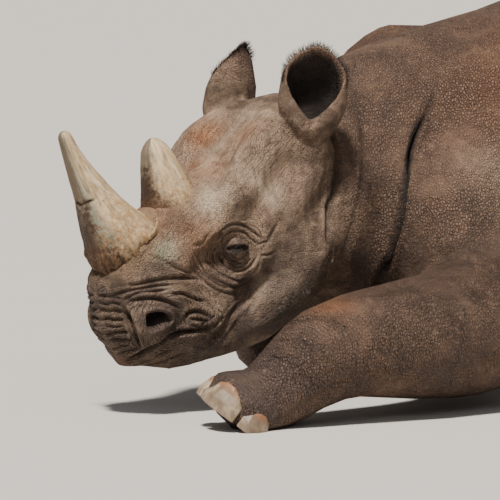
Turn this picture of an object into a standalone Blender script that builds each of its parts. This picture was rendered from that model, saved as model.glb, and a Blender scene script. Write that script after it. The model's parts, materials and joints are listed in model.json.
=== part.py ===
"""Black rhinoceros, life size, lying on its chest with the head held low.

Metres, +Z up. The animal faces -Y and its left side is +X. The floor is the
plane z = 0; belly, legs and feet rest on flats cut at that level.
"""
import math

import bmesh
import bpy
from mathutils import Matrix, Vector

# ------------------------------------------------------------ driving sizes
CROWN = Vector((0.0, 0.0, 0.620))      # top of the skull, between the ears
HEAD_PITCH = math.radians(45.0)        # muzzle held this far below level
CHEEK_WIDTH = 0.325                    # widest part of the head
EYE_RADIUS = 0.020
EAR_HEIGHT = 0.188
EAR_BASE = 0.036                       # radius of the stalk
EAR_STALK = 0.035                      # length set into the head
EAR_WALL = 0.010
FRONT_HORN_LENGTH = 0.255              # height above the nose
REAR_HORN_LENGTH = 0.122
HORN_SEAT = 0.030                      # depth the horns are set into the head
WITHERS_HEIGHT = 0.860                 # lying, floor to shoulder hump
BELLY_WIDTH = 0.900
FOOT_RADIUS = 0.086
NAIL_HEIGHT = 0.058
INSTEP = 0.070                         # middle of the foot's upper part, over the sole
INSTEP_STRETCHED = 0.046               # the same on the foot held out in front
TAIL_LENGTH = 0.60

CUT = 0.0003                           # gap left between neighbouring nodes
FLESH_VOXEL = 0.0095
FLESH_PASSES = 9
FLESH_FACES = 3700
HEAD_HOLD = 0.35                       # share of thinning the head takes

FLESH = "hide"
HORN = "horn"
NAIL = "nail"
EYE = "eye"


# ------------------------------------------------------------ clean start
for leftover in list(bpy.data.objects):
    bpy.data.objects.remove(leftover)


def material(name, colour, roughness):
    made = bpy.data.materials.new(name)
    made.use_nodes = True
    shader = made.node_tree.nodes["Principled BSDF"]
    shader.inputs["Base Color"].default_value = (*colour, 1.0)
    shader.inputs["Roughness"].default_value = roughness
    return made


MATERIALS = {
    FLESH: material(FLESH, (0.200, 0.150, 0.120), 0.80),
    HORN: material(HORN, (0.560, 0.470, 0.330), 0.55),
    NAIL: material(NAIL, (0.480, 0.360, 0.270), 0.50),
    EYE: material(EYE, (0.020, 0.012, 0.008), 0.10),
}


# ------------------------------------------------------------ plain helpers
def on_head(across, along, above):
    """Place a point given across, along and above the crown-to-muzzle line."""
    forward = Vector((0.0, -math.cos(HEAD_PITCH), -math.sin(HEAD_PITCH)))
    upward = Vector((0.0, -math.sin(HEAD_PITCH), math.cos(HEAD_PITCH)))
    return CROWN + Vector((across, 0.0, 0.0)) + forward * along + upward * above


def head_turn():
    """Rotation whose x, y, z run across, along and above the head."""
    forward = Vector((0.0, -math.cos(HEAD_PITCH), -math.sin(HEAD_PITCH)))
    upward = Vector((0.0, -math.sin(HEAD_PITCH), math.cos(HEAD_PITCH)))
    return Matrix((Vector((1.0, 0.0, 0.0)), forward, upward)).transposed()


def turned(x=0.0, y=0.0, z=0.0):
    return (Matrix.Rotation(math.radians(z), 3, "Z")
            @ Matrix.Rotation(math.radians(y), 3, "Y")
            @ Matrix.Rotation(math.radians(x), 3, "X"))


def object_from(name, form):
    mesh = bpy.data.meshes.new(name)
    bmesh.ops.recalc_face_normals(form, faces=form.faces)
    if form.calc_volume(signed=True) < 0.0:
        bmesh.ops.reverse_faces(form, faces=form.faces)
    form.to_mesh(mesh)
    form.free()
    made = bpy.data.objects.new(name, mesh)
    bpy.context.scene.collection.objects.link(made)
    return made


def ball(centre, radii, rotation=None, rings=20):
    """Ellipsoid form."""
    form = bmesh.new()
    bmesh.ops.create_uvsphere(form, u_segments=rings * 2, v_segments=rings, radius=1.0)
    rotation = rotation or Matrix.Identity(3)
    place = (Matrix.Translation(centre) @ rotation.to_4x4()
             @ Matrix.Diagonal((*radii, 1.0)))
    form.transform(place)
    return form


def taper(start, start_radius, end, end_radius, roundness=3):
    """Hull of two balls."""
    form = bmesh.new()
    for centre, radius in ((start, start_radius), (end, end_radius)):
        bmesh.ops.create_icosphere(form, subdivisions=roundness, radius=radius,
                                   matrix=Matrix.Translation(centre))
    hull = bmesh.ops.convex_hull(form, input=form.verts)
    spare = [item for item in hull["geom_interior"] if isinstance(item, bmesh.types.BMVert)]
    bmesh.ops.delete(form, geom=spare, context="VERTS")
    return form


def chain(joints):
    """Tapered lengths through (point, radius) joints."""
    return [taper(a[0], a[1], b[0], b[1]) for a, b in zip(joints, joints[1:])]


def both_sides(forms_at):
    """Forms built for each side; forms_at takes +1 for left and -1 for right."""
    return forms_at(1.0) + forms_at(-1.0)


def skin_rings(form, rings):
    """Triangles between rings, always split the same way so grown copies match."""
    for first, second in zip(rings, rings[1:]):
        count = len(first)
        for step in range(count):
            after = (step + 1) % count
            form.faces.new((first[step], first[after], second[after]))
            form.faces.new((first[step], second[after], second[step]))


def fan(form, ring, centre):
    """Close a ring with triangles to one vertex."""
    for step in range(len(ring)):
        form.faces.new((ring[step], ring[(step + 1) % len(ring)], centre))


def join(name, forms):
    merged = bmesh.new()
    for form in forms:
        scratch = bpy.data.meshes.new("scratch")
        form.to_mesh(scratch)
        form.free()
        merged.from_mesh(scratch)
        bpy.data.meshes.remove(scratch)
    return object_from(name, merged)


def settle(target):
    """Apply every modifier on the object."""
    graph = bpy.context.evaluated_depsgraph_get()
    graph.update()
    baked = bpy.data.meshes.new_from_object(target.evaluated_get(graph))
    target.modifiers.clear()
    old = target.data
    target.data = baked
    bpy.data.meshes.remove(old)
    return target


def fuse(name, forms, voxel, passes):
    """One smooth closed surface through overlapping forms."""
    made = join(name, forms)
    remesh = made.modifiers.new("remesh", "REMESH")
    remesh.mode = "VOXEL"
    remesh.voxel_size = voxel
    smooth = made.modifiers.new("smooth", "SMOOTH")
    smooth.factor = 0.5
    smooth.iterations = passes
    return settle(made)


def thin_out(target, faces):
    """Reduce the face count evenly, keeping the form."""
    tidy = target.modifiers.new("triangles", "TRIANGULATE")
    tidy.min_vertices = 4
    settle(target)
    ratio = min(1.0, faces / len(target.data.polygons))
    fewer = target.modifiers.new("fewer", "DECIMATE")
    fewer.ratio = ratio
    fewer.use_symmetry = False
    return settle(target)


def is_sound(target):
    """True where the mesh has faces and every edge joins two of them."""
    form = bmesh.new()
    form.from_mesh(target.data)
    sound = len(form.faces) > 3 and all(edge.is_manifold for edge in form.edges)
    form.free()
    return sound


def combine(target, cutter, operation):
    """Boolean step; the second solver is used only where the exact one fails."""
    before = target.data.copy()
    for solver in ("EXACT", "MANIFOLD"):
        step = target.modifiers.new(operation.lower(), "BOOLEAN")
        step.operation = operation
        step.solver = solver
        step.object = cutter
        settle(target)
        if is_sound(target):
            break
        target.data = before.copy()
    bpy.data.meshes.remove(before)
    return target


def copy_of(source, name):
    made = source.copy()
    made.data = source.data.copy()
    made.name = name
    bpy.context.scene.collection.objects.link(made)
    return made


def grown_copy(source):
    """Copy swollen by the gap width, used to make room for the original."""
    made = copy_of(source, "room")
    form = bmesh.new()
    form.from_mesh(made.data)
    bmesh.ops.triangulate(form, faces=form.faces)
    form.normal_update()
    moves = [vertex.normal * CUT * vertex.calc_shell_factor() for vertex in form.verts]
    for vertex, move in zip(form.verts, moves):
        vertex.co += move
    form.to_mesh(made.data)
    form.free()
    return made


def make_room(host, guest):
    """Cut a close-fitting seat for one node out of another."""
    triangulate(guest)
    room = grown_copy(guest)
    combine(host, room, "DIFFERENCE")
    drop(room)


def drop(*things):
    for thing in things:
        bpy.data.objects.remove(thing)


def half_space(point, normal, reach=3.6):
    """Large block whose one face lies in the plane, filling the side the normal points to."""
    normal = Vector(normal).normalized()
    form = bmesh.new()
    bmesh.ops.create_cube(form, size=reach)
    turn = normal.to_track_quat("Z", "Y").to_matrix().to_4x4()
    place = Matrix.Translation(Vector(point) + normal * reach / 2.0) @ turn
    form.transform(place)
    return object_from("cutter", form)


def block(low, high):
    """Box between two corners."""
    form = bmesh.new()
    bmesh.ops.create_cube(form, size=1.0)
    low, high = Vector(low), Vector(high)
    form.transform(Matrix.Translation((low + high) / 2.0) @ Matrix.Diagonal((*(high - low), 1.0)))
    return object_from("cutter", form)


def split_by_plane(source, front_name, back_name, point, normal):
    """Part a body in two with a thin gap; front is the side the normal points to."""
    normal = Vector(normal).normalized()
    front = copy_of(source, front_name)
    ahead = half_space(Vector(point) + normal * CUT / 2.0, normal)
    combine(front, ahead, "INTERSECT")
    behind = half_space(Vector(point) - normal * CUT / 2.0, normal)
    combine(source, behind, "DIFFERENCE")
    source.name = back_name
    drop(ahead, behind)
    return front, source


def split_by_block(source, inside_name, low, high):
    """Take the part of a body inside a box, leaving a thin gap round it."""
    low, high = Vector(low), Vector(high)
    taken = copy_of(source, inside_name)
    inner = block(low, high)
    combine(taken, inner, "INTERSECT")
    gap = Vector((CUT, CUT, CUT))
    outer = block(low - gap, high + gap)
    combine(source, outer, "DIFFERENCE")
    drop(inner, outer)
    return taken


# ------------------------------------------------------------ trunk and neck
def cross_ring(form, along, top, bottom, half_width, sides=36):
    """One ring of the trunk: narrower over the spine, fuller low down."""
    middle = (top + bottom) / 2.0
    half_height = (top - bottom) / 2.0
    ring = []
    for step in range(sides):
        angle = 2.0 * math.pi * step / sides
        lift = math.sin(angle)
        side = math.cos(angle)
        fullness = 1.0 - 0.13 * lift - 0.06 * lift * lift
        square = abs(side) ** 0.86 * math.copysign(1.0, side)
        ring.append(form.verts.new((half_width * square * fullness, along,
                                    middle + half_height * lift)))
    return ring


def trunk_forms():
    hump = WITHERS_HEIGHT
    half = BELLY_WIDTH / 2.0
    stations = [
        # along, top, bottom, half width
        (-0.02, 0.560, 0.300, 0.090),
        (0.10, 0.630, 0.205, 0.160),
        (0.22, 0.686, 0.135, 0.200),
        (0.36, 0.732, 0.070, 0.238),
        (0.50, 0.762, 0.020, 0.275),
        (0.66, 0.790, -0.012, 0.335),
        (0.88, hump - 0.010, -0.020, 0.396),
        (1.08, hump - 0.016, -0.020, half - 0.022),
        (1.32, hump - 0.040, -0.020, half),
        (1.56, hump - 0.026, -0.018, half - 0.014),
        (1.78, hump - 0.022, 0.000, half - 0.070),
        (1.94, hump - 0.080, 0.050, half - 0.150),
        (2.05, hump - 0.170, 0.140, half - 0.250),
        (2.11, hump - 0.270, 0.260, half - 0.350),
    ]
    form = bmesh.new()
    rings = [cross_ring(form, *station) for station in stations]
    skin_rings(form, rings)
    form.faces.new(rings[0])
    form.faces.new(rings[-1])
    bmesh.ops.recalc_face_normals(form, faces=form.faces)
    return [form]


def shoulder_forms(side):
    """Shoulder blade and upper arm of one side."""
    return [
        ball(Vector((side * 0.168, 0.530, 0.490)), (0.142, 0.235, 0.275), turned(x=-16.0)),
        ball(Vector((side * 0.226, 0.365, 0.330)), (0.140, 0.180, 0.215), turned(x=-10.0)),
    ]


def haunch_forms(side):
    """Thigh, drawn forward along the flank."""
    return chain([
        (Vector((side * 0.200, 1.780, 0.560)), 0.220),
        (Vector((side * 0.270, 1.640, 0.400)), 0.228),
        (Vector((side * 0.382, 1.410, 0.235)), 0.140),
    ]) + [ball(Vector((side * 0.262, 1.690, 0.330)), (0.192, 0.320, 0.290))]


def hind_leg_forms(side):
    """Shank folded back to the hock, foot brought forward along the floor."""
    stifle = Vector((side * 0.402, 1.385, 0.205))
    hock = Vector((side * 0.435, 1.785, 0.108))
    return (chain([(stifle, 0.124), (Vector((side * 0.418, 1.580, 0.160)), 0.115), (hock, 0.082)])
            + chain([(hock, 0.082),
                     (Vector((side * 0.478, 1.822, 0.072)), 0.062),
                     (Vector((side * 0.520, 1.640, 0.064)), 0.066),
                     (Vector((side * 0.528, 1.505, 0.068)), 0.070)]))


def left_fore_forms():
    """Left foreleg stretched out in front, knee a little raised."""
    return chain([
        (Vector((0.318, 0.330, 0.180)), 0.150),
        (Vector((0.362, 0.215, 0.155)), 0.132),
        (Vector((0.372, 0.080, 0.152)), 0.120),
        (Vector((0.358, -0.050, 0.148)), 0.103),
        (Vector((0.346, -0.124, 0.134)), 0.095),
        (Vector((0.332, -0.190, 0.092)), 0.082),
        (Vector((0.316, -0.240, 0.044)), 0.064),
    ])


def right_fore_forms():
    """Right foreleg folded under the chest, resting on the knee."""
    return chain([
        (Vector((-0.318, 0.560, 0.210)), 0.150),
        (Vector((-0.335, 0.440, 0.150)), 0.124),
        (Vector((-0.325, 0.318, 0.098)), 0.098),
        (Vector((-0.304, 0.300, 0.084)), 0.088),
        (Vector((-0.392, 0.425, 0.072)), 0.072),
        (Vector((-0.418, 0.520, 0.070)), 0.074),
    ])


def tail_forms():
    """Tail lying down the rump, its tip just over the floor."""
    root = Vector((0.0, 2.070, 0.590))
    steps = [
        (root, 0.066),
        (root + Vector((0.006, 0.070, -0.080)), 0.046),
        (root + Vector((0.018, 0.094, -0.210)), 0.034),
        (root + Vector((0.040, 0.096, -0.350)), 0.026),
        (root + Vector((0.075, 0.100, -0.470)), 0.021),
        (root + Vector((0.104, 0.100, TAIL_LENGTH * -0.920)), 0.021),
    ]
    return chain(steps)


# ------------------------------------------------------------ head
def head_ball(across, along, above, radii):
    """Ellipsoid in head directions."""
    return ball(on_head(across, along, above), radii, head_turn())


def head_chain(joints):
    return chain([(on_head(*place), radius) for *place, radius in joints])


def skull_forms():
    half = CHEEK_WIDTH / 2.0
    return [
        head_ball(0.0, 0.070, -0.110, (0.124, 0.140, 0.112)),
        head_ball(0.0, 0.165, -0.090, (0.142, 0.130, 0.090)),
        head_ball(0.0, 0.190, -0.195, (half - 0.022, 0.175, 0.130)),
        head_ball(0.0, 0.360, -0.150, (0.104, 0.200, 0.100)),
    ] + head_chain([
        (0.0, 0.200, -0.090, 0.088),
        (0.0, 0.330, -0.052, 0.092),
        (0.0, 0.430, -0.026, 0.086),
        (0.0, 0.500, -0.026, 0.078),
    ])


def cheek_forms(side):
    half = CHEEK_WIDTH / 2.0
    return [
        head_ball(side * 0.084, 0.200, -0.215, (half - 0.084, 0.140, 0.116)),
        head_ball(side * 0.062, 0.180, -0.125, (0.094, 0.170, 0.100)),
    ] + head_chain([
        # cheek bone, from under the eye to below the ear
        (side * 0.090, 0.360, -0.148, 0.030),
        (side * 0.116, 0.270, -0.152, 0.036),
        (side * 0.120, 0.150, -0.135, 0.044),
        (side * 0.106, 0.060, -0.118, 0.050),
    ]) + head_chain([
        # brow over the eye, rising to the side of the crown
        (side * 0.074, 0.355, -0.040, 0.024),
        (side * 0.098, 0.300, -0.054, 0.030),
        (side * 0.108, 0.220, -0.034, 0.040),
        (side * 0.096, 0.120, -0.030, 0.050),
        (side * 0.070, 0.040, -0.050, 0.052),
    ]) + head_chain([
        # base the ear stands on
        (side * 0.084, 0.085, -0.090, 0.060),
        (side * 0.118, 0.055, -0.092, 0.048),
    ])


def muzzle_forms(side):
    return [
        head_ball(side * 0.036, 0.500, -0.084, (0.062, 0.092, 0.072)),
    ] + head_chain([
        # rim of the upper lip, running back to the corner of the mouth
        (side * 0.012, 0.596, -0.128, 0.017),
        (side * 0.036, 0.566, -0.124, 0.030),
        (side * 0.062, 0.500, -0.150, 0.036),
        (side * 0.078, 0.420, -0.176, 0.040),
    ]) + head_chain([
        # lower lip and jaw
        (side * 0.014, 0.570, -0.156, 0.018),
        (side * 0.034, 0.540, -0.174, 0.030),
        (side * 0.054, 0.460, -0.212, 0.046),
        (side * 0.072, 0.360, -0.248, 0.066),
        (side * 0.084, 0.270, -0.252, 0.076),
        (side * 0.084, 0.200, -0.235, 0.086),
    ])


def head_forms():
    lip = head_chain([
        (0.0, 0.540, -0.070, 0.066),
        (0.0, 0.574, -0.106, 0.040),
        (0.0, 0.598, -0.134, 0.016),
    ])
    return skull_forms() + lip + both_sides(cheek_forms) + both_sides(muzzle_forms)


# ------------------------------------------------------------ ears, eyes, horns
def ear_frame(side):
    """Base point and rotation: z runs up the ear, -y out of its opening."""
    base = on_head(side * 0.128, 0.048, -0.078)
    face, tilt, lean = (52.0, 12.0, 6.0) if side > 0.0 else (64.0, -4.0, 8.0)
    return base, turned(z=side * face) @ turned(x=tilt, y=side * lean)


def ear_rim(turn):
    """Rim height and radius at an angle round the ear, 0 at the front of the opening."""
    back = (1.0 - math.cos(turn)) / 2.0
    side = math.sin(turn) ** 2
    height = EAR_HEIGHT * (0.26 + 0.74 * back ** 0.72)
    radius = 0.046 + 0.022 * side - 0.008 * back
    return height, radius


def ear_ring(form, level, inset, sides, lift=0.0):
    """Ring at a share of the rim height, drawn in by the wall thickness."""
    ring = []
    for step in range(sides):
        turn = 2.0 * math.pi * step / sides
        height, radius = ear_rim(turn)
        back = (1.0 - math.cos(turn)) / 2.0
        belly = math.sin(math.pi * min(level, 1.0) * 0.5) ** 0.8
        reach = EAR_BASE + (radius - EAR_BASE) * belly + 0.010 * math.sin(math.pi * level)
        reach -= inset
        lean = -0.030 * back * level ** 2
        ring.append(form.verts.new((reach * math.sin(turn),
                                    -reach * math.cos(turn) + lean + 0.008,
                                    height * level + lift)))
    return ring


def ear_object(side, name, filled=False, sides=18):
    """Open trumpet on a short stalk; filled, it is the outer surface alone."""
    base, rotation = ear_frame(side)
    form = bmesh.new()
    wall = EAR_WALL
    rings = [ear_ring(form, 0.0, 0.0, sides, -EAR_STALK)]
    rings += [ear_ring(form, level, 0.0, sides) for level in (0.0, 0.30, 0.60, 0.86)]
    if not filled:
        rings += [ear_ring(form, 1.0, wall * 0.25, sides, 0.0),
                  ear_ring(form, 0.99, wall * 0.85, sides, -0.002)]
        rings += [ear_ring(form, level, wall, sides, 0.012 * (1.0 - level))
                  for level in (0.84, 0.55, 0.28)]
        rings.append(ear_ring(form, 0.14, wall * 2.2, sides, 0.012))
    skin_rings(form, rings)
    form.faces.new(rings[0])
    middle = sum((vertex.co for vertex in rings[-1]), Vector()) / sides
    floor = form.verts.new(middle + Vector((0.0, 0.0, -0.002)))
    fan(form, rings[-1], floor)
    form.transform(Matrix.Translation(base) @ rotation.to_4x4())
    return object_from(name, form)


def eye_place(side):
    return on_head(side * 0.112, 0.317, -0.105)


def horn_object(name, spine, radii, sides=14):
    """Horn swept through spine points, each with a radius across and along the head."""
    form = bmesh.new()
    rings = []
    for index, centre in enumerate(spine):
        before = spine[max(index - 1, 0)]
        after = spine[min(index + 1, len(spine) - 1)]
        direction = (after - before).normalized()
        across = Vector((1.0, 0.0, 0.0))
        along = direction.cross(across).normalized()
        wide, deep = radii[index]
        rings.append([
            form.verts.new(centre + across * wide * math.cos(turn) + along * deep * math.sin(turn))
            for turn in (2.0 * math.pi * step / sides for step in range(sides))
        ])
    skin_rings(form, rings)
    form.faces.new(rings[0])
    fan(form, rings[-1], form.verts.new(spine[-1] + (spine[-1] - spine[-2]) * 0.28))
    return object_from(name, form)


def horn_shares(length, steps):
    """Heights from the seat to the tip, as shares of the length."""
    seat = -HORN_SEAT / length
    return [seat + (1.0 - seat) * index / (steps - 1) for index in range(steps)]


def front_horn():
    """Front horn: broad foot, leaning forward, its tip swept back."""
    spine, radii = [], []
    for share in horn_shares(FRONT_HORN_LENGTH, 9):
        outside = max(share, 0.0)
        back = 0.450 - 0.026 * min(outside * 4.0, 1.0) - 0.036 * outside ** 3
        spine.append(on_head(0.0, back, 0.045 + FRONT_HORN_LENGTH * share))
        flare = math.exp(-outside * 9.0)
        thick = 0.0125 + 0.051 * (1.0 - outside) ** 1.3
        radii.append((thick, thick * 1.06 + 0.010 * flare))
    return horn_object("horn_front", spine, radii)


def rear_horn():
    """Rear horn: shorter, blunt, leaning back."""
    spine, radii = [], []
    for share in horn_shares(REAR_HORN_LENGTH, 7):
        outside = max(share, 0.0)
        back = 0.310 - 0.060 * share
        spine.append(on_head(0.0, back, 0.012 + REAR_HORN_LENGTH * share))
        thick = 0.0170 + 0.037 * (1.0 - outside) ** 0.8
        radii.append((thick * 0.96, thick * 1.05))
    return horn_object("horn_rear", spine, radii)


# ------------------------------------------------------------ feet
def foot_matrix(sole_centre, downward, dorsal):
    """Foot axes: -z through the sole, -y towards the toes."""
    down = Vector(downward).normalized()
    front = Vector(dorsal)
    front = (front - down * front.dot(down)).normalized()
    across = down.cross(front)
    turn = Matrix((across, -front, -down)).transposed().to_4x4()
    return Matrix.Translation(sole_centre) @ turn


def foot_forms(place, instep):
    """Round pad, fuller at the toes, under an instep of the given height."""
    radius = FOOT_RADIUS
    lower = ball(Vector((0.0, 0.0, 0.042)), (radius * 0.97, radius, 0.054))
    upper = ball(Vector((0.0, 0.008, instep)), (radius * 0.84, radius * 0.86, instep * 0.94))
    for form in (lower, upper):
        form.transform(place)
    return [lower, upper]


def nail_object(name, place, middle, spread, height):
    """Curved nail plate set into the rim of the foot."""
    steps = 6
    inner = FOOT_RADIUS * 0.80
    form = bmesh.new()
    slices = []
    for index in range(steps):
        share = index / (steps - 1) * 2.0 - 1.0
        angle = math.radians(middle + spread * share)
        low = 0.004
        crown_height = height * (1.0 - 0.42 * share * share)
        bulge = 1.0 - 0.05 * share * share
        profile = [
            (inner, low),
            (FOOT_RADIUS * 1.035 * bulge, low),
            (FOOT_RADIUS * 1.050 * bulge, height * 0.40),
            (FOOT_RADIUS * 0.940 * bulge, crown_height),
            (inner, crown_height),
        ]
        slices.append([
            form.verts.new((reach * math.sin(angle), -reach * math.cos(angle), level))
            for reach, level in profile
        ])
    skin_rings(form, slices)
    form.faces.new(slices[0])
    form.faces.new(slices[-1])
    form.transform(place)
    return object_from(name, form)


FEET = {
    "fore_left": foot_matrix(Vector((0.286, -0.300, 0.012)),
                             (-0.36, -0.46, -0.81), (0.31, -0.88, 0.36)),
    "fore_right": foot_matrix(Vector((-0.428, 0.576, 0.062)),
                              (-0.10, 0.94, -0.16), (-0.35, 0.10, -0.94)),
    "hind_left": foot_matrix(Vector((0.532, 1.425, 0.034)),
                             (0.04, -0.80, -0.60), (0.30, -0.50, 0.80)),
    "hind_right": foot_matrix(Vector((-0.532, 1.425, 0.034)),
                              (-0.04, -0.80, -0.60), (-0.30, -0.50, 0.80)),
}
NAILS = {
    "middle": (0.0, 31.0, NAIL_HEIGHT),
    "outer": (62.0, 22.0, NAIL_HEIGHT * 0.80),
    "inner": (-62.0, 22.0, NAIL_HEIGHT * 0.80),
}


# ------------------------------------------------------------ fuse the flesh
forms = trunk_forms() + both_sides(shoulder_forms) + both_sides(haunch_forms)
forms += both_sides(hind_leg_forms) + left_fore_forms() + right_fore_forms() + tail_forms()
forms += head_forms()
for foot_name, foot in FEET.items():
    forms += foot_forms(foot, INSTEP_STRETCHED if foot_name == "fore_left" else INSTEP)
body = fuse("trunk", forms, FLESH_VOXEL, FLESH_PASSES)


def weigh_coarse(target):
    """Mark how freely faces may be removed: freely on the trunk, little on the head."""
    group = target.vertex_groups.new(name="coarse")
    for vertex in target.data.vertices:
        spot = vertex.co
        fine = spot.y < 0.14 or spot.z < 0.10
        group.add([vertex.index], HEAD_HOLD if fine else 1.0, "REPLACE")


def keep_largest(target):
    """Drop every loose shell but the one with most vertices."""
    form = bmesh.new()
    form.from_mesh(target.data)
    waiting = set(form.verts)
    shells = []
    while waiting:
        seed = waiting.pop()
        shell, front = {seed}, [seed]
        while front:
            vertex = front.pop()
            for edge in vertex.link_edges:
                other = edge.other_vert(vertex)
                if other not in shell:
                    shell.add(other)
                    front.append(other)
        waiting -= shell
        shells.append(shell)
    shells.sort(key=len)
    for shell in shells[:-1]:
        bmesh.ops.delete(form, geom=list(shell), context="VERTS")
    form.to_mesh(target.data)
    form.free()


def triangulate(target):
    whole = target.modifiers.new("triangles", "TRIANGULATE")
    whole.min_vertices = 4
    settle(target)


keep_largest(body)
weigh_coarse(body)
fewer = body.modifiers.new("fewer", "DECIMATE")
fewer.ratio = FLESH_FACES / (2.0 * len(body.data.polygons))
fewer.vertex_group = "coarse"
fewer.vertex_group_factor = 1.0
settle(body)
body.vertex_groups.clear()
triangulate(body)

ground = block((-2.0, -1.5, -1.0), (2.0, 3.5, 0.0))
combine(body, ground, "DIFFERENCE")

# ------------------------------------------------------------ part the flesh into nodes
nodes = []
left_fore = split_by_block(body, "foreleg_left", (0.180, -0.600, -0.100), (0.700, 0.240, 0.280))
right_fore = split_by_block(body, "foreleg_right", (-0.700, 0.150, -0.100), (-0.225, 0.680, 0.240))
left_hind = split_by_block(body, "hindleg_left", (0.350, 1.200, -0.100), (0.800, 2.000, 0.205))
right_hind = split_by_block(body, "hindleg_right", (-0.800, 1.200, -0.100), (-0.350, 2.000, 0.205))
tail, body = split_by_plane(body, "tail", "trunk", (0.0, 2.128, 0.500), (0.0, 1.0, -0.06))
head, body = split_by_plane(body, "head", "trunk", (0.0, 0.080, 0.400), (0.0, -1.0, 0.10))
neck, body = split_by_plane(body, "neck", "trunk", (0.0, 0.520, 0.400), (0.0, -1.0, 0.35))
haunches, body = split_by_plane(body, "haunches", "trunk", (0.0, 1.450, 0.400), (0.0, 1.0, 0.10))
jaw, head = split_by_plane(head, "jaw", "head", on_head(0.0, 0.560, -0.146),
                           head_turn() @ Vector((0.0, 0.28, -1.0)))
flesh = [left_fore, right_fore, left_hind, right_hind, tail, head, neck, haunches, body, jaw]

# ------------------------------------------------------------ set in ears, horns, eyes, nails
for side, word in ((1.0, "left"), (-1.0, "right")):
    filled = ear_object(side, "filled", True)
    combine(head, filled, "DIFFERENCE")
    drop(filled)
    ear = ear_object(side, "ear_" + word)
    make_room(head, ear)
    flesh.append(ear)
    eye = object_from("eye_" + word, ball(eye_place(side), (EYE_RADIUS,) * 3, None, 7))
    make_room(head, eye)
    nodes.append((eye, EYE))

for horn in (front_horn(), rear_horn()):
    make_room(head, horn)
    nodes.append((horn, HORN))

LIMBS = {"fore_left": left_fore, "fore_right": right_fore,
         "hind_left": left_hind, "hind_right": right_hind}
for foot_name, place in FEET.items():
    for nail_name, (middle, spread, height) in NAILS.items():
        nail = nail_object("nail_" + foot_name + "_" + nail_name, place, middle, spread, height)
        make_room(LIMBS[foot_name], nail)
        combine(nail, ground, "DIFFERENCE")
        nodes.append((nail, NAIL))

drop(ground)
nodes += [(part, FLESH) for part in flesh]

# ------------------------------------------------------------ stand on the middle of the floor
corners = [vertex.co for part, kind in nodes for vertex in part.data.vertices]
middle = Vector([(min(spot[axis] for spot in corners) + max(spot[axis] for spot in corners)) / 2.0
                 for axis in range(3)])
lowest = min(spot.z for spot in corners)
for part, kind in nodes:
    part.data.transform(Matrix.Translation((-middle.x, -middle.y, -lowest)))
    part.data.name = part.name
    part.data.materials.clear()
    part.data.materials.append(MATERIALS[kind])
    triangulate(part)
print("triangles", sum(len(part.data.polygons) for part, kind in nodes))
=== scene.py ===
import json
import math
import random
import bpy
import numpy as np
from mathutils import Matrix, Vector, noise
from mathutils.bvhtree import BVHTree
from mathutils.kdtree import KDTree

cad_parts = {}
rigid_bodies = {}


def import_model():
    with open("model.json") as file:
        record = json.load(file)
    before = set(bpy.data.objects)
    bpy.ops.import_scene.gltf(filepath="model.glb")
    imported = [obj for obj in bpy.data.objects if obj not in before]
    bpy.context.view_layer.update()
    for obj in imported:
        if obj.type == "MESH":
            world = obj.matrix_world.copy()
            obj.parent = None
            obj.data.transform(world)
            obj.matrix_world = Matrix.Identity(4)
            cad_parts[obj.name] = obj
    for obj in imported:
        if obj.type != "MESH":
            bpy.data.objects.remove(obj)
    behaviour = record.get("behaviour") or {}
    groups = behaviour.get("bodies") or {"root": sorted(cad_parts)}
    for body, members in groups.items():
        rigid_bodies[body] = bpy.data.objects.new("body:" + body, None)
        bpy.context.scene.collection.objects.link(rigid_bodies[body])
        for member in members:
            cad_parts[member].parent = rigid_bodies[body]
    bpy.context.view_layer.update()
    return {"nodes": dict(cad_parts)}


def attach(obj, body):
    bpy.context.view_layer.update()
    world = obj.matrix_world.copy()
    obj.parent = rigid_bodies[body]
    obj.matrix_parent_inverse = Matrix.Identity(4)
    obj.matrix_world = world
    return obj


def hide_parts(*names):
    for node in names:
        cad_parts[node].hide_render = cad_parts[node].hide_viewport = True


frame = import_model()
nodes = frame["nodes"]
print("frame loaded", len(nodes), "nodes")

# the head is measured across, along towards the lip, and above the crown-to-lip line
crown = Vector((0.0, -0.849, 0.620))
headPitch = math.radians(45.0)
headForward = Vector((0.0, -math.cos(headPitch), -math.sin(headPitch)))
headUpward = Vector((0.0, -math.sin(headPitch), math.cos(headPitch)))


def headPoint(across, along, above):
    return crown + Vector((across, 0.0, 0.0)) + headForward * along + headUpward * above


def toHead(spots):
    # rows of world points as across (same for both sides), along, above
    away = spots - np.array(crown)
    return np.column_stack((np.abs(away[:, 0]), away @ np.array(headForward), away @ np.array(headUpward)))


def toLeftSide(spots):
    return np.column_stack((np.abs(spots[:, 0]), spots[:, 1], spots[:, 2]))


def makeActive(piece):
    if bpy.context.object and bpy.context.object.mode != "OBJECT":
        bpy.ops.object.mode_set(mode="OBJECT")
    for each in bpy.context.view_layer.objects:
        each.select_set(False)
    piece.select_set(True)
    bpy.context.view_layer.objects.active = piece


def applyModifier(piece, kind, **settings):
    makeActive(piece)
    added = piece.modifiers.new(kind.lower(), kind)
    for key, value in settings.items():
        setattr(added, key, value)
    bpy.ops.object.modifier_apply(modifier=added.name)


def editMesh(piece, *steps):
    # each step is a mesh operator's name and its settings
    makeActive(piece)
    bpy.ops.object.mode_set(mode="EDIT")
    for name, settings in steps:
        getattr(bpy.ops.mesh, name)(**settings)
    bpy.ops.object.mode_set(mode="OBJECT")


def weld(piece):
    editMesh(
        piece, ("select_all", {"action": "SELECT"}), ("remove_doubles", {"threshold": 0.00002}),
        ("normals_make_consistent", {"inside": False}))


def smoothShade(piece):
    makeActive(piece)
    bpy.ops.object.shade_smooth()


def remesh(piece, voxel):
    piece.data.remesh_voxel_size = voxel
    makeActive(piece)
    bpy.ops.object.voxel_remesh()


def vertexRows(piece, what):
    flat = np.empty(len(piece.data.vertices) * 3)
    piece.data.vertices.foreach_get(what, flat)
    return flat.reshape(-1, 3)


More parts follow.
